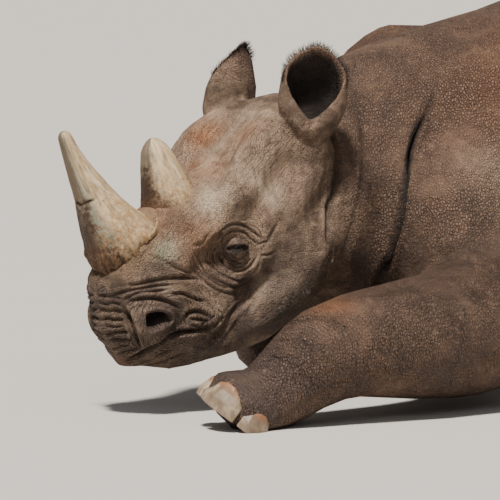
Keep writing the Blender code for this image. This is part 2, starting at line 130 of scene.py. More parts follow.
def places(piece):
    return vertexRows(piece, "co")


def outward(piece):
    return vertexRows(piece, "normal")


def setPlaces(piece, rows):
    piece.data.vertices.foreach_set("co", np.ascontiguousarray(rows, float).ravel())
    piece.data.update()


def mark(piece, name, values):
    made = piece.data.attributes.new(name, "FLOAT", "POINT")
    made.data.foreach_set("value", np.asarray(values, float))


def surfaceTree(piece, spots):
    faces = [tuple(face.vertices) for face in piece.data.polygons]
    return BVHTree.FromPolygons([tuple(row) for row in spots], faces)


def smoothStep(low, high, value):
    part = np.clip((value - low) / (high - low), 0.0, 1.0)
    return part * part * (3.0 - 2.0 * part)


def bell(value, width):
    return np.exp(-(value / width) ** 2)


def lengths(rows):
    return np.linalg.norm(rows, axis=1)


def between(values, low, high):
    return (values > low) & (values < high)


def weigh(piece, name, amounts):
    # a vertex group in twenty steps of weight
    group = piece.vertex_groups.new(name=name)
    steps = np.round(np.clip(amounts, 0.0, 1.0) * 20).astype(int)
    for step in range(1, 21):
        group.add(np.nonzero(steps == step)[0].tolist(), step / 20.0, "REPLACE")
    return group.name


def soften(piece, passes, group, amounts):
    applyModifier(piece, "SMOOTH", factor=0.5, iterations=passes, vertex_group=weigh(piece, group, amounts))


# skin: one closed surface over all the flesh

skinPlan = {
    "voxel": 0.0048,
    "grow": 0.0004,
    "nailShrink": 0.0012,
    "softBody": 420,  # smoothing passes that take the facets off the trunk
    "softHead": 14,
    "softFine": 4,
    "triangles": 188000,
}
fleshNames = [
    "head", "jaw", "neck", "trunk", "haunches", "tail", "foreleg_left", "foreleg_right",
    "hindleg_left", "hindleg_right", "ear_left", "ear_right",
]
nailNames = sorted(name for name in nodes if name.startswith("nail_"))
hornCuts = {"horn_front": 0.445, "horn_rear": 0.300}  # how far along the head
eyePlace = (0.112, 0.317, -0.105)
eyeSize = 0.020
nostrilPlace = (0.085, 0.530, -0.072)


def copyNode(name):
    twin = bpy.data.objects.new(name + "Copy", nodes[name].data.copy())
    bpy.context.scene.collection.objects.link(twin)
    weld(twin)
    twin.data.materials.clear()
    return twin


def hornFoot(name):
    # the part of a horn that the skin wraps
    plug = copyNode(name)
    cut = {
        "plane_co": headPoint(0.0, hornCuts[name], 0.040), "plane_no": headUpward,
        "use_fill": True, "clear_outer": True,
    }
    editMesh(plug, ("select_all", {"action": "SELECT"}), ("bisect", cut))
    return plug


def keepLargest(piece):
    # the remesh can leave a closed shell inside; only the outer one stays
    links = np.empty(len(piece.data.edges) * 2, np.int64)
    piece.data.edges.foreach_get("vertices", links)
    links = links.reshape(-1, 2)
    label = np.arange(len(piece.data.vertices))
    before = None
    while before is None or not np.array_equal(before, label):
        low = np.minimum(label[links[:, 0]], label[links[:, 1]])
        before = label.copy()
        for end in (0, 1):
            np.minimum.at(label, links[:, end], low)
        label = label[label]
    names, counts = np.unique(label, return_counts=True)
    loose = label != names[np.argmax(counts)]
    if loose.any():
        piece.data.vertices.foreach_set("select", loose)
        piece.data.edges.foreach_set("select", loose[links[:, 0]])
        editMesh(piece, ("select_mode", {"type": "VERT"}), ("delete", {"type": "VERT"}))


def splitFaces(piece, wanted):
    # wanted is a mask over vertices; faces with every corner in it are cut in four
    editMesh(piece, ("select_mode", {"type": "VERT"}), ("select_all", {"action": "DESELECT"}))
    piece.data.vertices.foreach_set("select", wanted)
    finer = {"number_cuts": 1, "quadcorner": "STRAIGHT_CUT"}
    editMesh(piece, ("select_mode", {"type": "FACE"}), ("subdivide", finer))


def buildSkin():
    parts = [copyNode(name) for name in fleshNames + ["eye_left", "eye_right"]]
    parts += [hornFoot(name) for name in hornCuts]
    for each in parts:
        applyModifier(each, "DISPLACE", strength=skinPlan["grow"], mid_level=0.0)
    for name in nailNames:
        inner = copyNode(name)
        applyModifier(inner, "DISPLACE", strength=-skinPlan["nailShrink"], mid_level=0.0)
        parts.append(inner)
    skin = parts[0]
    makeActive(skin)
    for each in parts:
        each.select_set(True)
    bpy.ops.object.join()
    skin.name = "skin"
    skin.data.remesh_voxel_adaptivity = 0.0
    remesh(skin, skinPlan["voxel"])
    keepLargest(skin)
    print("skin remeshed", len(skin.data.polygons))
    return skin


def softenSkin(skin):
    spots = places(skin)
    head = toHead(spots)
    x, y, z = np.abs(spots[:, 0]), spots[:, 1], spots[:, 2]
    across, along, above = head.T
    onHead = (y < -0.72) & (z > 0.10) & (x < 0.24)
    isEar = onHead & (along < 0.10) & (above > -0.02) & (across > 0.09)
    isEar |= onHead & (across > 0.165) & (along < 0.16)
    isTail = (y > 1.02) & (x < 0.11) & (z < 0.46)
    body = smoothStep(-0.80, -0.62, y) * (0.14 + 0.86 * smoothStep(0.14, 0.26, z))
    legFront = (x > 0.20) & (y < -0.60) & (z < 0.30)
    body = np.where(legFront, 0.05 + 0.30 * smoothStep(-1.16, -1.00, y), body)
    body = np.where(isTail | isEar, 0.0, body)
    soften(skin, skinPlan["softHead"], "allOver", np.where(isEar, 0.25, np.where(isTail, 0.4, 1.0)))
    soften(skin, skinPlan["softBody"], "broad", body)
    skin.vertex_groups.clear()
    print("skin softened")


def splitForDetail(skin):
    spots = places(skin)
    across, along, above = toHead(spots).T
    x, y, z = np.abs(spots[:, 0]), spots[:, 1], spots[:, 2]
    front = (along > 0.20) & (above > -0.40) & (y < -0.80) & (across < 0.20) & (z > 0.03)
    neck = between(y, -0.86, -0.46) & (z > 0.18) & (along < 0.19)
    wrist = (y < -0.90) & (x > 0.24) & (z > 0.02)
    splitFaces(skin, front | neck | wrist)
    head = toHead(places(skin))
    eye = lengths(head - np.array(eyePlace)) < 0.052
    nostril = lengths(head - np.array(nostrilPlace)) < 0.045
    splitFaces(skin, eye | nostril)
    spots = places(skin)
    fine = smoothStep(0.19, 0.24, toHead(spots)[:, 1]) * (spots[:, 1] < -0.80)
    soften(skin, skinPlan["softFine"], "fine", fine)
    skin.vertex_groups.clear()
    print("skin split for detail", len(skin.data.vertices))


skin = buildSkin()
softenSkin(skin)
splitForDetail(skin)

# folds: each is a line over the skin, cut in with raised edges

blockSize = 4000  # vertices measured at a time, to save memory
foldPlan = {"lip": 0.35, "taper": 0.22, "ends": 0.12}  # raised edge, share that fades, depth left at the ends


def metres(value):
    return round(value * 0.001, 6)


def metreStops(stops):
    return [tuple(metres(part) for part in stop) for stop in stops]


def curveThrough(stops, gap=0.0012, closed=False):
    # a smooth line through the stops
    stops = [Vector(stop) for stop in stops]
    if closed:
        chain = [stops[-1]] + stops + stops[:2]
    else:
        chain = [stops[0] * 2 - stops[1]] + stops + [stops[-1] * 2 - stops[-2]]
    line = []
    for before, start, end, after in zip(chain, chain[1:], chain[2:], chain[3:]):
        count = max(2, int((end - start).length / gap))
        for step in range(count):
            t = step / count
            line.append(0.5 * (
                2 * start + (end - before) * t + (2 * before - 5 * start + 4 * end - after) * t * t
                + (3 * start - before - 3 * end + after) * t * t * t))
    if not closed:
        line.append(stops[-1])
    return line


class FoldField:
    # gathers how far each vertex goes in or out, and how much painted shade its crease gets

    def __init__(self, piece):
        self.spots = places(piece)
        self.normals = outward(piece)
        self.head = toHead(self.spots)
        self.onLeft = toLeftSide(self.spots)
        self.cut, self.rise, self.shade = np.zeros((3, len(self.spots)))
        self.onHead = (self.spots[:, 1] < -0.60) & (self.head[:, 0] < 0.235)
        self.tree = surfaceTree(piece, self.spots)

    def snap(self, line, onHead):
        spots = [headPoint(*point) if onHead else Vector(point) for point in line]
        rows = np.array([tuple(self.tree.find_nearest(spot)[0]) for spot in spots])
        return toHead(rows) if onHead else toLeftSide(rows)

    def near(self, line, reach, onHead, side):
        rows = self.head if onHead else self.onLeft
        mask = np.all((rows >= line.min(0) - reach) & (rows <= line.max(0) + reach), axis=1)
        if onHead:
            mask &= self.onHead
        if side:
            mask &= self.spots[:, 0] * side > 0.0
        found = np.nonzero(mask)[0]
        distance, share = np.empty((2, len(found)))
        for start in range(0, len(found), blockSize):
            block = slice(start, start + blockSize)
            apart = rows[found[block]][:, None, :] - line[None, :, :]
            squared = np.einsum("ijk,ijk->ij", apart, apart)
            best = squared.argmin(1)
            distance[block] = np.sqrt(squared[np.arange(len(best)), best])
            share[block] = best / max(1, len(line) - 1)
        return found, distance, share

    def crease(self, stops, depth, width, shade, onHead=True, side=0):
        depth, width = metres(depth), metres(width)
        taper, ends = foldPlan["taper"], foldPlan["ends"]
        line = self.snap(curveThrough(metreStops(stops)), onHead)
        found, distance, share = self.near(line, width * 4.5, onHead, side)
        fade = smoothStep(0.0, taper, share) * smoothStep(0.0, taper, 1.0 - share)
        fade = ends + (1.0 - ends) * fade
        for store, height, shape in (
            (self.cut, depth, bell(distance, width)),
            (self.rise, depth * foldPlan["lip"], bell(distance - 2.1 * width, 1.2 * width)),
            # painted shade along the crease
            (self.shade, shade, bell(distance, 0.75 * width)),
        ):
            store[found] = np.maximum(store[found], height * (shape * fade))

    def swell(self, spot, height, radius):
        height, radius = metres(height), metres(radius)
        distance = lengths(self.head - np.array([metres(part) for part in spot]))
        mask = (distance < radius * 2.6) & self.onHead
        self.rise[mask] += height * bell(distance[mask], radius)

    def finish(self, piece):
        settled = np.clip(self.cut / 0.004, 0.0, 1.0)
        move = self.rise * (1.0 - 0.7 * settled) - self.cut
        setPlaces(piece, self.spots + self.normals * move[:, None])
        return self.shade


# in millimetres, in the head's own measures: stops, depth, width
muzzleFolds = {
    "noseGroove": ([(50, 555, -18), (56, 563, -37), (61, 574, -58), (60, 584, -78), (56, 587, -98)], 14, 5),
    "overNostril": ([(54, 553, -17), (64, 539, -14), (76, 520, -27), (86, 506, -43), (93, 494, -65),
        (95, 485, -100)], 6, 4),
    "nostrilLobe": ([(90, 492, -118), (92, 474, -120), (98, 458, -134), (107, 450, -165)], 6, 4),
    "nostrilLobeLow": ([(94, 500, -138), (100, 490, -154), (105, 466, -174)], 5, 3.5),
    "lobeUpper": ([(90, 484, -123), (100, 470, -145), (108, 452, -165)], 3.5, 3),
    "lobeLower": ([(92, 495, -131), (102, 480, -153), (107, 461, -170)], 3.5, 3),
    "longTop": ([(15, 559, 18), (40, 552, 13), (61, 528, 3), (75, 504, -14), (82, 476, -37),
        (87, 455, -60)], 4.5, 3.5),
    "longBack": ([(43, 535, 24), (68, 513, 4), (76, 488, -14), (83, 461, -35), (80, 433, -64), (83, 410, -92),
        (93, 402, -115)], 4.5, 3.6),
    "longMiddle": ([(50, 553, -5), (61, 537, -6), (72, 515, -14), (82, 494, -34), (87, 468, -55)], 4, 3.2),
    "longLow": ([(88, 484, -55), (89, 457, -83), (87, 447, -104), (93, 440, -122),
        (100, 428, -138)], 4.5, 3.4),
    "noseOne": ([(0, 557, 17), (36, 554, 12), (56, 544, -4)], 3.5, 3),
    "noseTwo": ([(6, 566, 7), (24, 563, 1), (40, 560, 2), (54, 553, -14)], 3.4, 2.6),
    "noseThree": ([(0, 571, -4), (20, 570, -10), (37, 567, -12), (51, 559, -27)], 4.8, 3.2),
    "noseFour": ([(0, 584, -26), (18, 582, -21), (34, 578, -28), (53, 567, -36)], 5.2, 3.4),
    "noseFive": ([(14, 589, -33), (30, 585, -40), (46, 578, -45)], 2.6, 2.4),
    "noseSix": ([(0, 598, -49), (31, 591, -50), (57, 579, -58)], 4.5, 3.2),
    "noseSeven": ([(4, 602, -66), (20, 599, -60), (36, 594, -68), (59, 582, -74)], 3.8, 3),
    "noseEight": ([(0, 606, -80), (16, 604, -83), (30, 600, -80), (44, 593, -88)], 3, 2.6),
    "noseNine": ([(0, 611, -95), (26, 605, -95), (60, 583, -100)], 3, 2.6),
}
mouthFolds = {
    "mouthLine": ([(0, 612, -125), (22, 606, -117), (47, 590, -113), (68, 574, -109), (79, 552, -112),
        (87, 533, -118), (94, 508, -136), (101, 486, -156), (107, 458, -172)], 12, 4.2),
    "lipOne": ([(18, 606, -133), (42, 590, -137), (65, 567, -140), (78, 540, -152)], 3.5, 3),
    "lipTwo": ([(24, 596, -147), (40, 575, -161), (62, 551, -168), (77, 519, -185)], 3, 3),
    "cornerOne": ([(100, 480, -150), (106, 462, -155), (112, 440, -160)], 3.5, 3),
    "cornerTwo": ([(104, 468, -172), (108, 448, -176), (112, 425, -176)], 3, 2.8),
}
cheekFolds = {
    "cheekMain": ([(115, 335, -190), (113, 358, -195), (110, 383, -194), (114, 419, -186), (108, 442, -194),
        (99, 465, -196), (88, 495, -195)], 5, 7),
    "cheekUpper": ([(108, 350, -180), (106, 378, -182), (114, 412, -170), (110, 445, -175),
        (100, 475, -178)], 2, 5),
    "cheekLower": ([(118, 345, -205), (117, 380, -212), (114, 415, -206), (104, 445, -212),
        (94, 470, -216)], 1.6, 5),
    "templeUp": ([(143, 286, -136), (147, 262, -131), (152, 227, -122)], 2.4, 3.6),
    "templeOne": ([(106, 90, 0), (136, 136, -14), (145, 179, -65), (153, 213, -115)], 1.4, 4),
    "templeTwo": ([(70, 110, 10), (120, 165, 4), (142, 212, -40), (146, 242, -98)], 1.2, 4),
    "templeThree": ([(60, 150, 6), (100, 200, 0), (128, 240, -30), (138, 262, -70)], 1, 3.8),
    "browLeft": ([(88, 378, -32), (98, 360, -44), (106, 345, -39), (110, 322, -34)], 3, 3.6),
    "noseSide": ([(60, 452, 30), (80, 440, -10), (88, 424, -50), (86, 405, -85)], 2.5, 4),
}
eyeFolds = {
    "upperOne": ([(100, 334, -84), (111, 322, -68), (119, 309, -66), (122, 296, -76), (126, 288, -89),
        (131, 288, -104), (137, 287, -120), (142, 288, -134)], 3, 2.2),
    "upperTwo": ([(98, 340, -72), (109, 328, -59), (119, 320, -50), (123, 305, -52), (125, 290, -62),
        (128, 279, -80), (134, 276, -100), (141, 275, -118), (144, 282, -135)], 3, 2.4),
    "lowerOne": ([(100, 330, -112), (112, 336, -120), (121, 334, -130), (129, 322, -134),
        (133, 308, -133)], 2.2, 1.8),
    "lowerTwo": ([(92, 340, -86), (93, 347, -100), (102, 354, -116), (112, 352, -129), (119, 347, -136),
        (127, 338, -141), (133, 324, -143), (137, 308, -138), (137, 296, -128)], 3.8, 2.6),
    "lowerThree": ([(88, 366, -66), (90, 370, -94), (102, 372, -120), (112, 366, -140), (118, 352, -156),
        (126, 336, -160), (135, 316, -156), (141, 300, -144)], 2.8, 2.6),
    "lowerFive": ([(84, 398, -60), (84, 402, -92), (94, 402, -124), (106, 394, -150),
        (114, 378, -172)], 2.6, 2.6),
    "lowerSix": ([(84, 390, -52), (86, 394, -86), (94, 393, -112), (104, 388, -136), (112, 372, -158),
        (118, 354, -170)], 2.4, 2.2),
    "pouchOne": ([(106, 344, -118), (113, 344, -126), (121, 338, -133), (128, 330, -138)], 2, 1.8),
    "outerOne": ([(137, 292, -122), (144, 276, -128), (149, 262, -140)], 2.6, 2.4),
    "outerTwo": ([(139, 300, -140), (145, 288, -152), (150, 272, -160)], 2.4, 2.4),
    "innerOne": ([(94, 344, -70), (90, 356, -74), (88, 368, -84)], 2.6, 2.2),
    "innerTwo": ([(94, 338, -78), (88, 350, -86), (87, 362, -98)], 2, 2),
    "lowerFour": ([(88, 382, -40), (85, 380, -70), (88, 388, -98), (100, 386, -122), (110, 378, -146),
        (116, 364, -164), (120, 344, -176), (128, 325, -176)], 2.6, 2.8),
}
headSwells = [  # place, height, radius
    ((0, 385, 35), 12, 30), ((0, 250, 20), 6, 30), ((80, 545, -66), 9, 36), ((76, 520, -35), 4, 20),
    ((0, 585, -35), 4, 30), ((100, 478, -146), 6, 16), ((78, 560, -100), 4, 14),
]


def sculptHead(field):
    for group, shade in ((muzzleFolds, 0.8), (mouthFolds, 1.0), (cheekFolds, 0.30), (eyeFolds, 0.70)):
        for stops, depth, width in group.values():
            field.crease(stops, depth, width, shade)
    for spot, height, radius in headSwells:
        field.swell(spot, height, radius)
    print("head folds cut")


# in millimetres from the model's middle: stops, depth, width, side (0 for both), painted shade in the crease
bodyFolds = {
    "shoulder": ([(170, -530, 610), (190, -600, 530), (210, -640, 450), (220, -660, 370), (200, -680, 290),
        (170, -680, 220)], 30, 5, 1, 1.8),
    "shoulderRight": ([(170, -530, 610), (210, -580, 530), (250, -600, 450), (260, -600, 360),
        (220, -600, 260)], 24, 6.2, -1, 2.2),
    "jawNeck": ([(100, -780, 620), (150, -760, 520), (165, -780, 440), (150, -800, 360),
        (100, -820, 290)], 10, 6, 0, 0.7),
    "neckMiddle": ([(100, -680, 660), (160, -700, 560), (185, -720, 460), (170, -745, 360),
        (120, -760, 270)], 5, 5, 0, 0.35),
    "neckLow": ([(50, -800, 240), (100, -770, 220), (150, -720, 220)], 6, 10, 0, 0.5),
    "elbow": ([(360, -460, 500), (420, -400, 400), (430, -360, 300), (400, -340, 200)], 14, 18, 0, 0.4),
    "flank": ([(400, 620, 600), (460, 600, 480), (470, 580, 360), (440, 560, 260)], 12, 30, 0, 0.25),
    "thigh": ([(300, 860, 620), (380, 820, 500), (420, 800, 380)], 6, 35, 0, 0.12),
    "ribOne": ([(380, -60, 620), (460, -20, 460), (460, 20, 320)], 4, 45, 0, 0.08),
    "ribTwo": ([(380, 80, 620), (460, 120, 460), (460, 160, 320)], 4, 45, 0, 0.08),
    "ribThree": ([(380, 220, 620), (460, 260, 460), (460, 300, 320)], 3, 45, 0, 0.06),
    "rump": ([(100, 1220, 660), (220, 1200, 520), (280, 1160, 380), (260, 1120, 240)], 8, 16, 0, 0.25),
    "tailBase": ([(20, 1200, 640), (70, 1220, 580), (80, 1230, 480), (60, 1230, 380)], 6, 8, 0, 0.4),
    "hindKnee": ([(420, 520, 260), (500, 580, 220), (540, 700, 200), (540, 840, 200)], 10, 12, 0, 0.4),
    "nape": ([(0, -700, 720), (60, -700, 700), (120, -680, 650)], 4, 8, 0, 0.3),
}
wristFolds = {
    "wristOne": ([(310, -1020, 170), (340, -1030, 192), (370, -1010, 199), (400, -990, 192),
        (430, -970, 165)], 3.6, 4.5, 1, 0.45),
    "wristTwo": ([(310, -1060, 140), (345, -1068, 165), (380, -1053, 162), (410, -1035, 146),
        (430, -1015, 115)], 3.6, 4.5, 1, 0.45),
    "wristThree": ([(320, -1110, 120), (345, -1108, 138), (380, -1088, 128), (400, -1066, 105),
        (410, -1050, 70)], 3, 4.2, 1, 0.4),
    "wristFour": ([(320, -990, 200), (360, -980, 215), (400, -960, 205), (430, -940, 180)], 2.6, 4.5, 1, 0.3),
}


def sculptBody(field):
    for group in (bodyFolds, wristFolds):
        for stops, depth, width, side, shade in group.values():
            field.crease(stops, depth, width, shade, onHead=False, side=side)
    print("body folds cut")


field = FoldField(skin)
sculptHead(field)
sculptBody(field)
creaseShade = field.finish(skin)

# eye opening, lids and nostrils

eyeFrame = {
    "turn": math.radians(68.0),  # from straight ahead towards the side
    "lift": math.radians(6.0),
    "halfWidth": 0.0172,
    "upper": 0.0050,
    "lower": 0.0048,
    "lid": 0.0046,
    "sink": 0.0050,  # how far the slit goes into the ball
    "rim": 0.0014,
}
nostrilPlan = {
    "outline": [
        (542, -46), (555, -55), (562, -67), (556, -77), (540, -83), (519, -91), (514, -80), (524, -60)],
    "depth": 0.036,
    "rim": 0.0055,
}


def eyeCentre(side):
    return headPoint(side * eyePlace[0], eyePlace[1], eyePlace[2])


def eyeAxes(side):
    turn, lift = eyeFrame["turn"], eyeFrame["lift"]
    out = Vector((side * math.sin(turn) * math.cos(lift), -math.cos(turn) * math.cos(lift), math.sin(lift)))
    back = Vector((side * math.cos(turn), math.sin(turn), 0.0))
    top = Vector((0.0, 0.0, 1.0)) - out * out.z
    return back.normalized(), top.normalized(), out.normalized()


def openEye(spots, side):
    centre = np.array(eyeCentre(side))
    away = spots - centre
    a, b, c = [away @ np.array(axis) for axis in eyeAxes(side)]
    reach = lengths(away)
    near = (reach < 0.060) & (c > -0.010)
    ball = eyeSize + eyeFrame["lid"]
    direction = away / np.maximum(reach, 1e-6)[:, None]
    share = np.where(near, 1.0 - smoothStep(0.015, 0.034, np.hypot(a, b)), 0.0)
    lidReach = reach * (1.0 - share) + np.maximum(ball, ball + 0.35 * (reach - ball)) * share
    # the slit: an almond, deeper than the ball's own surface
    half = eyeFrame["halfWidth"]
    arch = np.sqrt(1.0 - np.clip(np.abs(a) / half, 0.0, 1.0) ** 2.2)
    gap = np.maximum(b - eyeFrame["upper"] * arch, -eyeFrame["lower"] * arch - b)
    gap = np.where(np.abs(a) > half, np.hypot(np.abs(a) - half, b), gap)
    opened = np.where(near, 1.0 - smoothStep(-0.0016, 0.0002, gap), 0.0)
    lidReach = lidReach + eyeFrame["rim"] * np.where(near, bell(gap - 0.0024, 0.0020), 0.0)
    lidReach = lidReach * (1.0 - opened) + (eyeSize - eyeFrame["sink"]) * opened
    # painted shade on the lid edges round the eye opening
    lidShade = np.maximum(bell(gap, 0.0016), 0.34 * bell(gap, 0.0080))
    creaseShade[:] = np.maximum(creaseShade, np.where(near, lidShade, 0.0))
    return np.where(near[:, None], centre + direction * lidReach[:, None], spots)


def openEyes(skin):
    setPlaces(skin, openEye(openEye(places(skin), 1.0), -1.0))
    print("eyes opened")


def signedDistance(points, loop):
    # distance in the plane, negative inside the closed loop
    best = np.full(len(points), 1e9)
    inside = np.zeros(len(points), bool)
    for start, end in zip(loop, loop[1:] + loop[:1]):
        start, end = np.array(start), np.array(end)
        along = end - start
        t = np.clip(((points - start) @ along) / (along @ along), 0.0, 1.0)
        best = np.minimum(best, lengths(points - (start + t[:, None] * along)))
        crosses = (start[1] > points[:, 1]) != (end[1] > points[:, 1])
        where = (end[0] - start[0]) * (points[:, 1] - start[1]) / (end[1] - start[1] + 1e-12) + start[0]
        inside ^= crosses & (points[:, 0] < where)
    return np.where(inside, -best, best)


def openNostrils(skin):
    spots, normals = places(skin), outward(skin)
    head = toHead(spots)
    near = between(head[:, 0], 0.050, 0.125)
    near &= (np.abs(head[:, 1] - 0.54) < 0.06) & (np.abs(head[:, 2] + 0.07) < 0.06)
    found = np.nonzero(near)[0]
    outline = [(metres(along), metres(above), 0.0) for along, above in nostrilPlan["outline"]]
    loop = [tuple(point)[:2] for point in curveThrough(outline, gap=0.004, closed=True)]
    gap = signedDistance(head[found][:, 1:3], loop)
    deep = nostrilPlan["depth"] * (1.0 - smoothStep(-0.0075, 0.0008, gap))
    rim = nostrilPlan["rim"] * bell(gap - 0.0050, 0.0042)
    inward = np.zeros((len(found), 3))
    inward[:, 0] = -np.sign(spots[found, 0]) * 0.80
    inward += np.array(headForward) * -0.45 + np.array(headUpward) * 0.20
    inward /= lengths(inward)[:, None]
    spots[found] += inward * deep[:, None] + normals[found] * (rim * (gap > -0.001))[:, None]
    setPlaces(skin, spots)
    # painted shade inside the nostrils
    creaseShade[found] = np.maximum(creaseShade[found], 1.15 * (1.0 - smoothStep(-0.005, 0.0015, gap)))
    print("nostrils opened")


def finishSkin(skin):
    # fewer faces where the form is plain; the head keeps more of its own
    spots = places(skin)
    spots[:, 2] = np.maximum(spots[:, 2], 0.0)
    setPlaces(skin, spots)
    kept = KDTree(len(spots))
    for index, row in enumerate(spots):
        kept.insert(row, index)
    kept.balance()
    fine = (spots[:, 1] < -0.80) & (toHead(spots)[:, 0] < 0.21)
    group = weigh(skin, "free", np.where(fine, 0.30, 1.0))
    ratio = skinPlan["triangles"] / (len(skin.data.polygons) * 2)
    applyModifier(skin, "DECIMATE", ratio=ratio, vertex_group=group, vertex_group_factor=1.0)
    skin.vertex_groups.clear()
    # the crease mark carries the painted shade of the creases, eyelids and nostrils
    mark(skin, "crease", creaseShade[[kept.find(row)[1] for row in places(skin)]])
    smoothShade(skin)
    print("skin finished", sum(len(face.vertices) - 2 for face in skin.data.polygons))


openEyes(skin)
openNostrils(skin)
finishSkin(skin)
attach(skin, "root")
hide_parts(*fleshNames)

# horns: a grid wrapped round a bowed axis

hornPlans = {
    "horn_front": {
        "name": "hornFront",
        "height": 0.255,
        "seat": -0.10,  # share of the height that is set into the head
        "back": lambda s: 0.452 - 0.030 * (1.0 - math.exp(-3.0 * max(s, 0.0))) - 0.035 * max(s, 0.0) ** 3,
        "base": 0.045,
        "thick": lambda s: 0.0125 + 0.051 * (1.0 - s) ** 1.3,
        "deep": 1.06,
        "flare": 0.010,
        "around": 160,
        "along": 190,
        "fibre": 0.0014,
        "collar": 0.16,
        "spread": 0.022,  # how far the foot runs back along the nose
        "belly": 0.006,
        "notch": 0.47,
        "cap": 20.0,
        "seed": 3.0,
    },
    "horn_rear": {
        "name": "hornRear",
        "height": 0.122,
        "seat": -0.20,
        "back": lambda s: 0.310 - 0.060 * s,
        "base": 0.012,
        "thick": lambda s: 0.0170 + 0.037 * (1.0 - s) ** 0.8,
        "deep": 1.09,
        "flare": 0.003,
        "around": 130,
        "along": 110,
        "fibre": 0.0012,
        "collar": 0.22,
        "spread": 0.008,
        "belly": 0.0,
        "notch": 0.0,
        "cap": 6.0,
        "seed": 11.0,
    },
}
hornFootShare = 0.04  # of the grid's rows, that close the foot


def noiseRows(rows, scale, seed, depth=3):
    # fractal noise at each row, about -1 to 1
    shift = Vector((seed * 7.3, seed * 3.1, seed * 5.7))
    return np.array([noise.fractal(Vector(row) * scale + shift, 0.9, 2.1, depth) for row in rows])


def hornAxis(plan, s):
    return headPoint(0.0, plan["back"](s), plan["base"] + plan["height"] * s)


def buildHorn(node):
    plan = hornPlans[node]
    bpy.ops.mesh.primitive_grid_add(x_subdivisions=plan["around"], y_subdivisions=plan["along"], size=1.0)
    horn = bpy.context.object
    horn.name = plan["name"]
    spots = places(horn)
    turn = (spots[:, 0] + 0.5) * 2.0 * math.pi
    share = spots[:, 1] + 0.5
    rising = np.clip((share - hornFootShare) / (1.0 - hornFootShare), 0.0, 1.0)
    heights = plan["seat"] + (1.0 - plan["seat"]) * rising
    toLeft, sinTurn = np.cos(turn), np.sin(turn)
    front = -sinTurn  # 1 on the side towards the lip
    # grain runs up the horn, so the noise is stretched along it
    grain = np.column_stack((toLeft, sinTurn, heights * plan["height"] * 8.0))
    fine, lumps, rings, ragged = [
        noiseRows(grain * np.array(stretch), scale, plan["seed"] + extra, depth)
        for stretch, scale, extra, depth in (
            ((1.0, 1.0, 0.10), 9.0, 0.0, 4), ((0.9, 0.9, 0.9), 1.6, 1.0, 3),
            ((0.25, 0.25, 1.5), 3.0, 2.0, 3), ((1.0, 1.0, 0.7), 4.5, 3.0, 4),
        )
    ]
    cracked = np.zeros(len(spots))
    for index, s in enumerate(heights):
        outside = max(s, 0.0)
        axis = hornAxis(plan, s)
        direction = (hornAxis(plan, s + 0.01) - axis).normalized()
        across = Vector((1.0, 0.0, 0.0))
        deepWay = direction.cross(across).normalized()
        rounded = min(1.0, 0.5 * (s + math.sqrt(s * s + 0.008)))  # eases the turn at the foot
        thick = plan["thick"](rounded) * (1.0 - 0.14 * smoothStep(0.03, -0.10, s))
        wide = thick * 0.99
        deep = thick * plan["deep"] + plan["flare"] * math.exp(-rounded * 9.0)
        # rounded tip and closed foot
        tip = (1.0 - share[index]) * plan["cap"]
        close = math.sqrt(max(0.0, 1.0 - (1.0 - tip) ** 2)) if tip < 1.0 else 1.0
        if share[index] < hornFootShare:
            close *= share[index] / hornFootShare
        collar = bell(outside, plan["collar"])
        lump = lumps[index]
        swell = plan["fibre"] * fine[index] * (0.35 + 1.0 * collar)
        swell += 0.0022 * lump * (1.0 - 0.75 * outside)
        swell += 0.0009 * rings[index] * (0.3 + 0.7 * (1.0 - outside))
        swell += 0.0010 * collar * (0.7 + 0.6 * lump) + 0.0026 * collar * fine[index]
        swell += 0.0030 * ragged[index] * collar
        swell += plan["belly"] * bell(outside - 0.27, 0.17) * smoothStep(-0.2, 0.8, front[index])
        swell += plan["spread"] * math.exp(-outside / 0.10) * smoothStep(0.0, 1.0, -front[index])
        if plan["notch"]:
            # worn ledge on the front right, where the outer layer has flaked off
            side = smoothStep(-0.40, 0.10, front[index] * 0.77 - toLeft[index] * 0.64)
            side *= smoothStep(-0.75, -0.35, toLeft[index])
            above = outside - plan["notch"] + 0.02 * lump
            ledge = smoothStep(-0.012, 0.0, plan["notch"] - outside + 0.02 * lump)
            ledge *= smoothStep(0.05, 0.40, outside)
            worn = side * (1.0 - ledge) * smoothStep(0.30, 0.44, outside)
            swell -= 0.0030 * worn * (1.0 + 0.5 * fine[index])
            cracked[index] = bell(above, 0.010) * side
            swell -= 0.0055 * cracked[index]
        swell *= smoothStep(0.04, 0.06, share[index]) * smoothStep(0.0, 1.0, tip)
        wide, deep = wide * close + swell, deep * close + swell
        spots[index] = axis + across * wide * toLeft[index] + deepWay * deep * sinTurn[index]
    setPlaces(horn, spots)
    marks = {"rise": np.clip(heights, 0.0, 1.0), "front": front, "left": toLeft, "cracked": cracked}
    for name, values in marks.items():
        mark(horn, name, values)
    vectors = horn.data.attributes.new("grain", "FLOAT_VECTOR", "POINT")
    vectors.data.foreach_set("vector", grain.ravel())
    weld(horn)
    smoothShade(horn)
    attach(horn, "root")
    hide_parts(node)
    print("horn built", horn.name, len(horn.data.polygons))
    return horn


# nails: the node's own form, rounded

nailPlan = {"voxel": 0.0021, "grow": 0.0022, "soften": 12, "groove": 0.00045, "rootBand": 0.0008}
nailDown = {"fore_left": Vector((-0.36, -0.46, -0.81)).normalized()}


def plainName(node):
    parts = node.split("_")
    return parts[0] + "".join(part.capitalize() for part in parts[1:])


